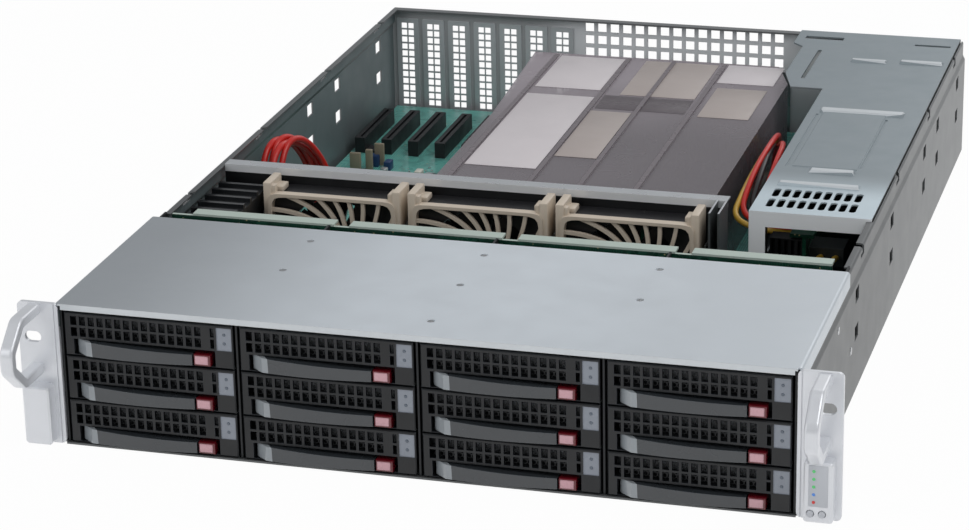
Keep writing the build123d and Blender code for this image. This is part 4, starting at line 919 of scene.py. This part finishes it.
@dataclass
class Studio:
    """Floor, lights and camera."""

    eye: Triple = (492.7, -1541.0, 735.8)
    azimuth: float = 16.36
    dip: float = 20.59
    roll: float = -1.22
    focal_px: float = 3120.0
    frame_px: float = 969.0
    sensor: float = 36.0
    floor_size: float = 12.0
    floor_white: float = 0.97
    room_light: float = 0.42
    aim: Triple = (0.0, 0.3, 0.04)
    lamps: tuple[tuple[str, Triple, float, float], ...] = (
        ("key", (1.1, -0.3, 1.9), 1.4, 14.0),
        ("fill", (-1.6, -1.3, 1.1), 1.6, 9.5),
        ("back", (0.5, 2.2, 1.4), 1.4, 6.5),
    )

    def camera(self) -> None:
        """Set the camera where the photograph was taken from."""
        azimuth, dip, roll = (math.radians(v) for v in (self.azimuth, self.dip, self.roll))
        ahead = Vector((-math.sin(azimuth) * math.cos(dip), math.cos(azimuth) * math.cos(dip), -math.sin(dip)))
        level = Vector((math.cos(azimuth), math.sin(azimuth), 0.0))
        above = level.cross(ahead)
        right = level * math.cos(roll) + above * math.sin(roll)
        up = above * math.cos(roll) - level * math.sin(roll)
        data = bpy.data.cameras.new("camera")
        data.sensor_width = self.sensor
        data.lens = self.focal_px / self.frame_px * self.sensor
        data.clip_end = 60.0
        camera = bpy.data.objects.new("camera", data)
        turn = Matrix((right, up, -ahead)).transposed()
        camera.matrix_world = Matrix.Translation(Vector(self.eye) * MM) @ turn.to_4x4()
        bpy.context.scene.collection.objects.link(camera)
        bpy.context.scene.camera = camera

    def floor(self) -> None:
        """Lay a pale floor that stays near white to the camera and keeps the object's shadow."""
        form = bmesh.new()
        bmesh.ops.create_grid(form, x_segments=1, y_segments=1, size=self.floor_size / 2)
        mesh = bpy.data.meshes.new("floor")
        form.to_mesh(mesh)
        form.free()
        floor = bpy.data.objects.new("floor", mesh)
        bpy.context.scene.collection.objects.link(floor)
        made = bpy.data.materials.new("floor_white")
        made.use_nodes = True
        made.node_tree.nodes.clear()
        graph = Graph(made.node_tree)
        coords = graph.add("ShaderNodeTexCoord")
        cloud = graph.noise(coords.outputs["Object"], 2.0, 2.0)
        tone = graph.blend(cloud, linear((240, 240, 241)), linear((246, 246, 246)))
        matt = graph.add("ShaderNodeBsdfDiffuse", {"Color": tone})
        white = graph.add("ShaderNodeEmission", {"Color": WHITE, "Strength": 1.0})
        path = graph.add("ShaderNodeLightPath").outputs
        seen = graph.math("MAXIMUM", path["Is Camera Ray"], path["Is Glossy Ray"])
        through = graph.math("MAXIMUM", seen, path["Is Transmission Ray"])
        share = graph.math("MULTIPLY", through, self.floor_white)
        mix = graph.add("ShaderNodeMixShader", {0: share, 1: matt.outputs[0], 2: white.outputs[0]})
        out = graph.add("ShaderNodeOutputMaterial")
        graph.join(mix.outputs[0], out.inputs["Surface"])
        mesh.materials.append(made)

    def world(self) -> None:
        """Fill the room with soft light, and show white where nothing stands."""
        world = bpy.data.worlds.new("room")
        bpy.context.scene.world = world
        world.use_nodes = True
        world.node_tree.nodes.clear()
        graph = Graph(world.node_tree)
        soft = graph.add("ShaderNodeBackground", {"Color": (0.95, 0.97, 1.0, 1.0), "Strength": self.room_light})
        white = graph.add("ShaderNodeBackground", {"Color": WHITE, "Strength": 1.0})
        path = graph.add("ShaderNodeLightPath")
        mix = graph.add("ShaderNodeMixShader", {
            0: path.outputs["Is Camera Ray"], 1: soft.outputs[0], 2: white.outputs[0],
        })
        out = graph.add("ShaderNodeOutputWorld")
        graph.join(mix.outputs[0], out.inputs["Surface"])

    def lamp(self, name: str, place: Triple, size: float, watts: float) -> None:
        """Hang one square soft lamp that faces the object.

        Args:
            name: Name of the lamp.
            place: Where it hangs, in metres.
            size: Edge length, in metres.
            watts: Power.
        """
        data = bpy.data.lights.new(name, "AREA")
        data.shape = "SQUARE"
        data.size = size
        data.energy = watts
        lamp = bpy.data.objects.new(name, data)
        lamp.location = place
        lamp.rotation_euler = (Vector(self.aim) - Vector(place)).to_track_quat("-Z", "Y").to_euler()
        bpy.context.scene.collection.objects.link(lamp)

    def build(self) -> None:
        """Set up the whole studio."""
        bpy.context.scene.view_settings.view_transform = "Standard"
        self.camera()
        self.floor()
        self.world()
        for lamp in self.lamps:
            self.lamp(*lamp)


@dataclass
class CableSet:
    """Red data cables and the leads between the power board, motherboard and backplane."""

    plug_back: float = 176.8
    data_x: float = -205.5
    data_pitch: float = 4.8
    data_z: float = 26.0
    data_end_x: float = -190.0
    data_end_y: float = 375.5
    wall_y: float = 262.8
    board_top: float = 9.5
    plug_h: float = 12.0
    data_radius: float = 2.2
    lead_radius: float = 1.9
    power_x: float = 169.8
    lead_left: float = 112.5
    lead_pitch: float = 4.8
    lead_start_y: float = 309.5
    lead_end_x: float = 110.9
    lead_end_y: float = 501.3
    lead_end_pitch: float = 10.0
    window_pitch: float = 6.0
    lead_z: float = 50.0
    front_y: float = 271.5
    front_lift: float = 8.0
    data_sway: tuple[float, ...] = (0.0, 5.0, -3.0, 4.0)
    lead_bow: tuple[Pair, ...] = ((3.0, -8.0), (1.0, -2.0), (2.0, 0.0), (4.0, 0.0))
    lead_sway: tuple[Pair, ...] = ((3.0, -8.0), (5.0, 3.0), (-2.0, -4.0), (4.0, 4.0))

    def data_route(self, index: int) -> list[Triple]:
        """Corner points of a data cable, from its plug to the motherboard."""
        x = self.data_x + index * self.data_pitch
        end_x = self.data_end_x + index * self.data_pitch
        end_y = self.data_end_y
        sway = self.data_sway[index]
        return [
            (x, self.plug_back, self.data_z),
            (x, self.plug_back + 40, self.data_z),
            (x + 0.5, self.wall_y - 2, self.data_z + 3),
            (x - 1 - index, end_y - 66 + sway, 45),
            (x - 1 - index, end_y - 48 + sway, 81 - 1.5 * (index % 2)),
            (end_x - 9 - index, end_y - 18 - sway, 73 + sway),
            (end_x - 2, end_y, 43),
            (end_x, end_y, self.board_top + self.plug_h / 2),
        ]

    def lead_route(self, index: int) -> list[Triple]:
        """Corner points of a lead from the power board to the motherboard."""
        x = self.lead_left + index * self.lead_pitch
        y = self.lead_start_y + index * self.window_pitch
        end_y = self.lead_end_y - index * self.lead_end_pitch
        bow_x, bow_z = self.lead_bow[index]
        sway_x, sway_z = self.lead_sway[index]
        return [
            (self.power_x - 14, y, self.lead_z),
            (x, y, self.lead_z),
            (x - 0.5 + bow_x, y + 46, self.lead_z + 22 + bow_z),
            (x + sway_x, end_y - 60, self.lead_z + 25 + sway_z),
            (self.lead_end_x, end_y, self.board_top + self.plug_h + 27),
            (self.lead_end_x, end_y, self.board_top + self.plug_h),
        ]

    def front_route(self, index: int) -> list[Triple]:
        """Corner points of a lead from the power board to the backplane."""
        x = self.power_x + 10 + index * 2 * self.lead_pitch
        run = (self.front_y - self.plug_back) / 3
        return [
            (x, self.front_y, self.lead_z),
            (x, self.front_y - run, self.lead_z + self.front_lift),
            (x, self.plug_back + run, self.data_z + 2 + self.front_lift),
            (x, self.plug_back, self.data_z + 2),
        ]

    def cable(self, name: str, points: list[Triple], radius: float, finish: Finish) -> bpy.types.Object:
        """Draw one cable as a smooth curve, with its route as control points.

        Args:
            name: Name of the piece.
            points: Route, in millimetres.
            radius: Radius of the sheath, in millimetres.
            finish: Finish of the sheath.

        Returns:
            The cable.
        """
        data = bpy.data.curves.new(name, "CURVE")
        data.dimensions = "3D"
        line = data.splines.new("NURBS")
        line.points.add(len(points) - 1)
        for point, spot in zip(line.points, points):
            point.co = (*(Vector(spot) * MM), 1.0)
        line.order_u = 3
        line.use_endpoint_u = True
        line.resolution_u = 10
        data.bevel_depth = radius * MM
        data.bevel_resolution = 3
        data.use_fill_caps = True
        data.materials.append(finish.material())
        piece = bpy.data.objects.new(name, data)
        bpy.context.scene.collection.objects.link(piece)
        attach(piece, "chassis")
        return piece

    def build(self) -> None:
        """Lay every cable in place of the plain tubes."""
        for i in range(4):
            piece = self.cable(f"data_cable_{i + 1}", self.data_route(i), self.data_radius, SHEATH_RED)
            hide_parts("data_cables")
        plans = [
            (f"power_lead_{i + 1}", self.lead_route(i), length, finish)
            for i, (length, finish) in enumerate((
                (260.1, SHEATH_YELLOW), (240.4, SHEATH_RED), (221.3, SHEATH_BLACK), (202.7, SHEATH_RED)))
        ]
        plans += [(f"front_lead_{i + 1}", self.front_route(i), 99.8, SHEATH_YELLOW) for i in range(2)]
        for name, route, length, finish in plans:
            piece = self.cable(name, route, self.lead_radius, finish)
            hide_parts("power_cables")


@dataclass
class Case:
    """Sheet metal of the case: pan, cover, slot covers, fan wall, and their screws."""

    half_width: float = 218.5
    height: float = 88.0
    wall_in: float = 217.3
    band_in: float = 215.8
    rear_in: float = 643.3
    seat_depth: float = 0.6
    side_screws: tuple[Pair, ...] = ((112.0, 66.0), (158.0, 35.0))
    cover_screws: tuple[Pair, ...] = (
        (2.0, 20.5), (-107.0, 79.0), (-107.0, 129.5), (2.0, 79.0), (2.0, 129.5), (109.5, 79.0), (109.5, 129.5))

    def screw(self, radius: float = 2.6) -> bpy.types.Mesh:
        """Low countersunk screw head with a cross recess.

        Args:
            radius: Radius of the head, in millimetres.

        Returns:
            The head's mesh, standing on its origin.
        """
        head = Shaper().disc((0, 0, -0.1), radius, 0.5, sides=20, taper=0.86)
        return head.disc((0, 0, 0.35), radius * 0.4, 0.15, sides=4, taper=0.4).mesh("screw_head")

    def build(self) -> None:
        """Dress the sheet metal and add its screws."""
        wall, band, rear = self.wall_in, self.band_in, self.rear_in
        # Painted shade on the inner side walls and the floor, painted light on the inner rear wall.
        inside = [
            (INNER_SHADE_STEEL, ((-wall - 0.1, 0.0, 1.0), (-wall + 0.1, 644.0, 73.5))),
            (INNER_SHADE_STEEL, ((-band - 0.1, 0.0, 71.0), (-band + 0.1, 644.0, 84.0))),
            (INNER_SHADE_STEEL, ((wall - 0.1, 0.0, 1.0), (wall + 0.1, 644.0, 73.5))),
            (HOUSE_SHADE, ((-217.0, 0.0, 1.1), (217.0, 644.0, 1.3))),
            (REAR_LIT_STEEL, ((-217.0, rear - 0.1, 1.0), (217.0, rear + 0.1, 84.0))),
        ]
        dress_regions("base_pan", WALL_STEEL_LIT, inside)
        dress("slot_covers", STRIP_STEEL)
        # The cover's front fold takes a painted highlight.
        dress_regions("front_cover", COVER_STEEL_SHEEN, [(BEAD_HIGHLIGHT, ((-219.0, -2.6, 84.0), (219.0, -2.4, 87.9)))])
        # Painted shade on the wall's front face under the rail, painted highlight on the rail and the guide's
        # top.
        dress_regions("fan_wall", CASE_STEEL, [
            (RAIL_FRONT_SHADE, ((-213.0, 262.7, 1.0), (123.0, 262.9, 86.0))),
            (LIT_STEEL, ((-213.0, 263.0, 80.9), (123.0, 273.0, 86.0))),
            (GUIDE_STEEL, ((114.8, 230.0, 1.0), (123.1, 262.6, 85.5))),
            (LIT_STEEL, ((114.8, 230.0, 85.5), (123.1, 262.6, 85.7))),
            (TUNNEL_BLACK, ((-213.0, 181.9, 1.0), (-180.6, 257.1, 78.0))),
        ])
        dress("drive_cage", CAGE_BLACK)
        tops = [(x, y, self.height - self.seat_depth) for x, y in self.cover_screws]
        REPEATER.spread("cover_screws", self.screw(2.2), tops, SCREW_STEEL, "chassis", spin=1.5, seed=3)
        sides = [(self.half_width, y, z) for y, z in self.side_screws]
        REPEATER.spread("right_wall_screws", self.screw(), sides, SCREW_STEEL, "chassis", Axis.RIGHT)
        others = [(-x, y, z) for x, y, z in sides]
        REPEATER.spread("left_wall_screws", self.screw(), others, SCREW_STEEL, "chassis", Axis.LEFT)


@dataclass
class Ears:
    """Rack ears with their handles, and the control panel of the right one."""

    pod_x: float = 221.5
    pod_w: float = 16.5
    face_y: float = -11.5
    plate_half: float = 5.4
    plate_z: Pair = (11.8, 36.4)
    lamp_low: float = 14.5
    lamp_pitch: float = 4.6

    def build(self) -> None:
        """Dress the ears and buttons, and add a lamp plate with its lamps."""
        for side in ("left_ear", "right_ear"):
            dress(side, EAR_SILVER)
        for button in ("power_button", "reset_button"):
            dress(button, PANEL_GREY)
        middle = self.pod_x + self.pod_w / 2
        half, (foot, head) = self.plate_half, self.plate_z
        block_piece("lamp_plate", (middle - half, self.face_y - 0.35, foot),
                    (middle + half, self.face_y + 0.2, head), 0.3, PANEL_GREY, "chassis")
        form = Shaper().disc((0, 0, 0), 0.95, 0.5, sides=16, taper=0.8).mesh("lens")
        for index, finish in enumerate((LENS_RED, LENS_BLUE, LENS_GREEN, LENS_GREEN, LENS_GREEN)):
            z = self.lamp_low + index * self.lamp_pitch
            place = (middle - 2.4, self.face_y - 0.3, z)
            REPEATER.spread(f"panel_lamp_{index + 1}", form.copy(), [place], finish, "chassis", Axis.FRONT)


@dataclass
class Carriers:
    """Twelve drive carriers with their levers, release buttons, light pads and grille meshes."""

    columns: int = 4
    rows: int = 3
    left: float = -213.0
    pitch: float = 107.5
    low: float = 1.5
    row_pitch: float = 27.4
    face_y: float = -1.5
    width: float = 103.5
    bezel_depth: float = 13.0
    pad_x: float = 93.6
    pad_w: float = 9.1
    pad_z: float = 11.2
    pad_h: float = 13.8
    lever_end_highlight: float = 17.0
    mesh_x: float = 47.0
    mesh_z: float = 18.2
    mesh_depth: float = 3.0
    mesh_w: float = 84.0
    mesh_h: float = 12.6
    mesh_cell: float = 2.6
    mesh_open: float = 0.72
    mesh_t: float = 0.3
    lamp_heights: Pair = (4.2, 9.6)

    def build(self) -> None:
        """Dress every carrier."""
        for row in range(self.rows):
            for column in range(self.columns):
                self.carrier(row, column)

    def carrier(self, row: int, column: int) -> None:
        """Dress one carrier.

        Args:
            row: Row from the top, from 0.
            column: Column from the left, from 0.
        """
        name = f"{row + 1}_{column + 1}"
        x = self.left + column * self.pitch
        z = self.low + (self.rows - 1 - row) * self.row_pitch
        y = self.face_y
        behind = y + self.bezel_depth
        pad = ((x + self.pad_x - 0.2, y - 0.1, z + self.pad_z - 0.2),
               (x + self.pad_x + self.pad_w + 0.2, y + 0.7, z + self.pad_z + self.pad_h + 0.2))
        inside = ((x + 0.9, behind + 2.0, z + 0.7), (x + self.width - 0.9, 200.0, z + 27.0))
        tray = ((x - 2.0, behind, z - 1.0), (x + self.width + 2.0, 200.0, z + 27.0))
        regions = [(CASE_STEEL, tray), (DRIVE_METAL, inside), (PAD_GREY, pad)]
        dress_regions(f"carrier_{name}", BEZEL_BLACK, regions)
        # The lever's rounded left end takes a painted highlight.
        end = ((x - 1.0, y - 12.0, z), (x + self.lever_end_highlight, y + 14.0, z + 12.0))
        dress_regions(f"lever_{name}", LEVER_BLACK, [(LEVER_END_HIGHLIGHT, end)])
        dress(f"release_{name}", RELEASE_RED)
        low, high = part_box(f"release_{name}")
        # A pale cap on each release button is a painted highlight.
        block_piece(f"release_cap_{name}", (low[0] / MM + 0.9, low[1] / MM - 0.35, low[2] / MM + 1.1),
                    (high[0] / MM - 1.3, low[1] / MM + 0.4, high[2] / MM - 0.7), 0.34,
                    RELEASE_HIGHLIGHT, f"release_{name}")
        sheet = HONEYCOMB.sheet(f"grille_mesh_{name}", self.mesh_w, self.mesh_h, self.mesh_cell,
                                self.mesh_open, self.mesh_t, CAGE_BLACK)
        sheet.transform(Axis.FRONT.matrix((x + self.mesh_x, y + self.mesh_depth, z + self.mesh_z)))
        new_piece(f"grille_mesh_{name}", sheet, None, f"carrier_{name}")
        lens = Shaper().disc((0, 0, 0), 1.0, 0.5, sides=14, taper=0.75)
        spots = [(x + self.pad_x + self.pad_w / 2, y + 0.5, z + self.pad_z + h) for h in self.lamp_heights]
        REPEATER.spread(f"lamps_{name}", lens.mesh("lamp"), spots, LENS_GREY, f"carrier_{name}", Axis.FRONT)


@dataclass
class BackplaneSet:
    """Backplane with its sockets and small parts."""

    front: float = 166.0
    back: float = 168.4
    left: float = -211.0
    right: float = 205.0
    top: float = 84.6

    def build(self) -> None:
        """Dress the backplane."""
        left, right, top = self.left - 1, self.right + 1, self.top
        edge = ((left, self.front + 0.1, top - 0.1), (right, self.back - 0.1, top + 0.1))
        sockets_front = ((-220, 150, 0), (220, self.front - 0.1, 90))
        sockets_back = ((-220, self.back + 0.1, 0), (220, 200, 90))
        strip = ((left, self.front - 0.1, top - 0.02), (right, self.front + 9.1, top + 1.5))
        dress_regions("backplane", BACKPLANE_GREEN, [
            (SOCKET_BLACK, sockets_front), (SOCKET_WHITE, sockets_back), (BOARD_EDGE, edge),
            (STRIP_PALE, strip),
        ])


@dataclass
class FanRow:
    """Three fans: pale bracket with a swirl guard, dark body with a motor plate, and rotor."""

    first_x: float = -130.5
    pitch: float = 97.0
    front: float = 236.0
    back: float = 262.5
    low: float = 1.8
    middle: float = 39.5
    bracket_half: float = 43.0
    bracket_top: float = 77.2
    bracket_depth: float = 6.0
    body_half: float = 40.5
    body_top: float = 75.2
    bore: float = 34.5
    hub: float = 13.0
    vanes: int = 22
    vane_width: float = 2.5
    stators: int = 13
    vane_front: float = 1.0
    vane_depth: float = 2.2
    vane_step: float = 1.2
    swirl: float = math.tan(math.radians(33.0))
    stator_width: float = 5.4
    stator_reach: float = 60.0
    latch_width: float = 5.4

    def vane(self, x: float, angle: float, opening: Outline) -> list[Pair]:
        """Spine of one guard vane, a spiral from the hub to the edge of the opening.

        Args:
            x: Middle of the fan, in millimetres.
            angle: Direction in which it leaves the hub, in radians.
            opening: Opening that it crosses.

        Returns:
            Points as X and Z.
        """
        spine = []
        radius = self.hub - 1.0
        while True:
            turn = angle + self.swirl * math.log(radius / self.hub)
            run, rise = radius * math.cos(turn), radius * math.sin(turn)
            spine.append((x + run, self.middle + rise))
            if opening.reach(run, rise) > 1.25:
                return spine
            radius += self.vane_step

    def bracket(self, x: float) -> Shaper:
        """Front frame with its guard and two latches.

        Args:
            x: Middle of the fan, in millimetres.

        Returns:
            The forms.
        """
        shaper = Shaper()
        half = (self.bracket_top - self.low) / 2
        outer = Outline(x, self.middle, self.bracket_half, half, 18.0)
        opening = Outline(x, self.middle, self.bracket_half - 2.6, half - 2.2, 14.0)
        shaper.frame(outer.points(), opening.points(), (self.front, self.front + self.bracket_depth))
        guard = (self.front + self.vane_front, self.front + self.vane_front + self.vane_depth)
        for k in range(self.vanes):
            shaper.ribbon(self.vane(x, 2 * math.pi * k / self.vanes, opening), self.vane_width, guard)
        shaper.disc((x, guard[1] + 0.1, self.middle), self.hub, self.vane_depth + 0.3, Axis.FRONT, 48)
        for side in (-1, 1):
            self.latch(shaper, x, side)
        return shaper

    def latch(self, shaper: Shaper, x: float, side: int) -> None:
        """Add one latch, a spring arm with a hook and a thumb rest.

        Args:
            shaper: Shaper that takes the forms.
            x: Middle of the fan, in millimetres.
            side: -1 for the left latch and 1 for the right one.
        """
        inner = self.body_half + 0.1
        for (near, far), depth, height, bevel in (
            ((inner, inner + self.latch_width), (self.front + 1, self.back - 4), (49.2, 84.0), 0.9),
            ((inner - self.latch_width, inner + 1), (self.front + 9, self.back - 6), (75.3, 79.2), 0.7),
            ((inner - self.latch_width / 2, inner + 1), (self.front + 2, self.front + 7), (75.2, 82.2), 0.8),
        ):
            xs = sorted((x + side * near, x + side * far))
            shaper.block((xs[0], depth[0], height[0]), (xs[1], depth[1], height[1]), bevel)

    def body(self, x: float) -> Shaper:
        """Square duct behind the bracket, with the motor plate on curved stator blades.

        Args:
            x: Middle of the fan, in millimetres.

        Returns:
            The forms.
        """
        shaper = Shaper()
        half = (self.body_top - self.low) / 2
        outer = Outline(x, self.low + half, self.body_half, half, 24.0)
        bore = Outline(x, self.middle, self.bore, self.bore)
        shaper.frame(outer.points(), bore.points(), (self.front + self.bracket_depth, self.back))
        shaper.disc((x, self.back - 3.0, self.middle), self.hub, 3.0, Axis.REAR, 40)
        for k in range(self.stators):
            angle = 2 * math.pi * k / self.stators
            blade = []
            for r in (10.0, 16.0, 22.0, 28.0, self.bore + 1.0):
                turn = angle - r / self.stator_reach
                blade.append((x + r * math.cos(turn), self.middle + r * math.sin(turn)))
            shaper.ribbon(blade, self.stator_width, (self.back - 2.9, self.back - 0.1))
        return shaper

    def build(self) -> None:
        """Make each fan's bracket and body in place of the plain solids, and dress its rotor."""
        for index in range(3):
            node = f"fan_{index + 1}"
            x = self.first_x + index * self.pitch
            for name, shaper, finish, slot in (
                (f"fan_bracket_{index + 1}", self.bracket(x), FAN_BEIGE, "beige_plastic"),
                (f"fan_body_{index + 1}", self.body(x), FAN_DARK, "black_plastic"),
            ):
                piece = new_piece(name, shaper.mesh(name), finish, node)
                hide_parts(node)
            dress(f"fan_rotor_{index + 1}", FAN_DARK)


@dataclass
class Mainboard:
    """Motherboard, its sockets, heat sinks, memory and rear ports."""

    top: float = 9.5
    resistors: int = 170
    resistor_area: tuple[Pair, Pair] = ((-205, -92), (334, 500))

    def build(self) -> None:
        """Dress the board and what stands on it."""
        dress("motherboard", BOARD_TEAL)
        regions: list[tuple[Finish, Region]] = [
            (SINK_ALUMINIUM, ((-73, 341, 9), (15, 428, 62))),
            (SINK_ALUMINIUM, ((9, 478.5, 9), (97, 567, 62))),
            (BACKPLANE_GREEN, ((27.9, 335, 18.6), (90, 470, 41))),
            (BACKPLANE_GREEN, ((-72.1, 473, 18.6), (-15, 608, 41))),
            (TIN, ((-75, 620, 9), (92, 646, 52))),
            (SOCKET_WHITE, ((105, 465, 9), (117, 508, 22))),
            (SHEATH_RED, ((-196, 369, 9), (-170, 382, 16))),
            (BACKPLANE_GREEN, ((169.7, 255, 0), (172.3, 340, 66.1))),
            (BACKPLANE_GREEN, ((161, 258, 65.95), (179, 275, 69))),
            (SOCKET_WHITE, ((155, 300, 40), (169.7, 335, 60))),
            # Painted shade on the part inside the power housing's mouth.
            (HOUSE_SHADE, ((172.3, 270, 40), (196, 293, 60))),
        ]
        dress_regions("board_parts", SOCKET_BLACK, regions)
        self.small_parts()

    def small_parts(self) -> None:
        """Set small plugs, chips and capacitors on the bare board between the sockets."""
        for name, finish, blocks in (
            ("board_pale_plugs", SOCKET_WHITE, (
                ((-166, 464, 9.4), (-160, 468, 15)), ((-150, 474, 9.4), (-145, 482, 14)),
                ((-132, 453, 9.4), (-125, 457, 14)))),
            ("board_blue_plugs", PLUG_BLUE, (
                ((-190, 490, 9.4), (-182, 497, 18)), ((-176, 484, 9.4), (-171, 492, 16)))),
            ("board_tan_plugs", PLUG_TAN, (
                ((-199, 476, 9.4), (-191, 479, 24)), ((-189, 482, 9.4), (-184, 485, 25)),
                ((-186, 494, 9.4), (-179, 497, 26)))),
            ("board_chips", SOCKET_BLACK, (
                ((-140, 470, 9.4), (-128, 482, 11.2)), ((-204, 400, 9.4), (-186, 418, 11.6)),
                ((-160, 350, 9.4), (-142, 368, 11.4)), ((-204, 520, 9.4), (-190, 534, 11.4)))),
        ):
            shaper = Shaper()
            for low, high in blocks:
                shaper.block(low, high, 0.5)
            new_piece(name, shaper.mesh(name), finish, "chassis")
        chip = Shaper().block((-0.8, -0.5, 0.0), (0.8, 0.5, 0.7), 0.1)
        can = Shaper().disc((0, 0, 0), 2.6, 6.5, sides=20).disc((0, 0, 6.4), 2.2, 0.3, sides=20)
        chance = random.Random(7)
        area_x, area_y = self.resistor_area
        spots = [
            (chance.uniform(*area_x), chance.uniform(*area_y), self.top - 0.05) for _ in range(self.resistors)
        ]
        REPEATER.spread("board_resistors", chip.mesh("chip"), spots, TIN, "chassis",
                        jitter=0.3, spin=1.57, seed=5)
        cans = [(x, y, self.top - 0.1) for x, y in (
            (-150, 452), (-143, 456), (-136, 464), (-171, 470), (-127, 470), (-119, 448), (-112, 455),
            (-104, 449), (-98, 340), (-105, 346), (-112, 339), (-196, 350), (-188, 344))]
        REPEATER.spread("board_capacitors", can.mesh("can"), cans, TIN, "chassis", jitter=0.15, seed=9)


@dataclass
class Shroud:
    """Air shroud with frosted panels in its top, and a dark panel of painted shade."""

    top: float = 70.0

    def build(self) -> None:
        """Dress the shroud and add its panels."""
        # The raised ribs are painted darker as shade.
        ribs = ((-84.0, 300.0, self.top + 0.1), (104.0, 601.0, self.top + 1.5))
        dress_regions("air_shroud", SHROUD_SMOKE_LIT, [(SHROUD_RIB_SHADE, ribs)])
        panels = (
            (SHROUD_FROST, (-73, 340), (-20, 500), 0.4), (SHROUD_WARM, (-19, 369), (14, 470), 0.4),
            (SHROUD_FROST, (-72, 517), (-20, 594), 0.35), (SHROUD_WARM, (-8, 510), (50, 594), 0.3),
            (SHROUD_FROST, (53, 552), (98, 596), 0.3), (SHROUD_WARM, (56, 472), (96, 540), 0.3),
            # Dark translucent panel of painted shade.
            (SHROUD_SHADE_PANEL, (-18, 476), (50, 507), 0.25),
        )
        for index, (finish, (x0, y0), (x1, y1), thick) in enumerate(panels):
            low, high = (x0 + 1, y0, self.top + 0.05), (x1 - 3, y1, self.top + thick)
            block_piece(f"shroud_panel_{index + 1}", low, high, 0.1, finish, "air_shroud")


@dataclass
class PowerSection:
    """Power housing and its two modules."""

    def build(self) -> None:
        """Dress the housing and the modules."""
        # Painted light on the housing top, beads, lip and tab; painted shade inside the mouth, on the side
        # plate and in the grooves.
        beads = ((138.0, 247.0, 86.7), (216.0, 644.0, 88.0))
        lit_lip = ((138.0, 247.4, 1.0), (216.0, 247.6, 86.0))
        dark = ((139.6, 247.6, 1.0), (214.2, 345.0, 84.7))
        side = ((214.0, 247.6, 1.0), (217.5, 645.0, 83.5))
        groove = ((138.0, 300.0, 80.0), (216.0, 560.0, 84.3))
        dress_regions("psu_housing", HOUSING_STEEL_LIT, [
            (HOUSE_SHADE, dark), (HOUSE_SHADE, side), (BEAD_HIGHLIGHT, beads), (LIP_LIGHT, lit_lip), (HOUSE_SHADE, groove),
        ])
        for node in ("power_module_upper", "power_module_lower"):
            low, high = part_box(node)
            # Module fronts in the housing's mouth take painted shade.
            face = ((low[0] / MM - 1, low[1] / MM - 1, 0.0), (high[0] / MM + 1, low[1] / MM + 0.3, 88.0))
            dress_regions(node, CASE_STEEL, [(HOUSE_SHADE, face)])
        # A raised tab carrying a painted highlight on the housing's rear.
        block_piece("housing_tab", (188.0, 607.0, 84.7), (209.0, 619.0, 85.7), 0.4, BEAD_HIGHLIGHT, "chassis")


def main() -> None:
    """Build the studio and dress the chassis."""
    logging.basicConfig(level=logging.INFO, format="%(message)s")
    for part in (Studio(), CableSet(), Case(), Ears(), Carriers(), BackplaneSet(), FanRow(), Mainboard(),
                 Shroud(), PowerSection()):
        LOG.info("building %s", type(part).__name__)
        part.build()


if __name__ == "__main__":
    main()
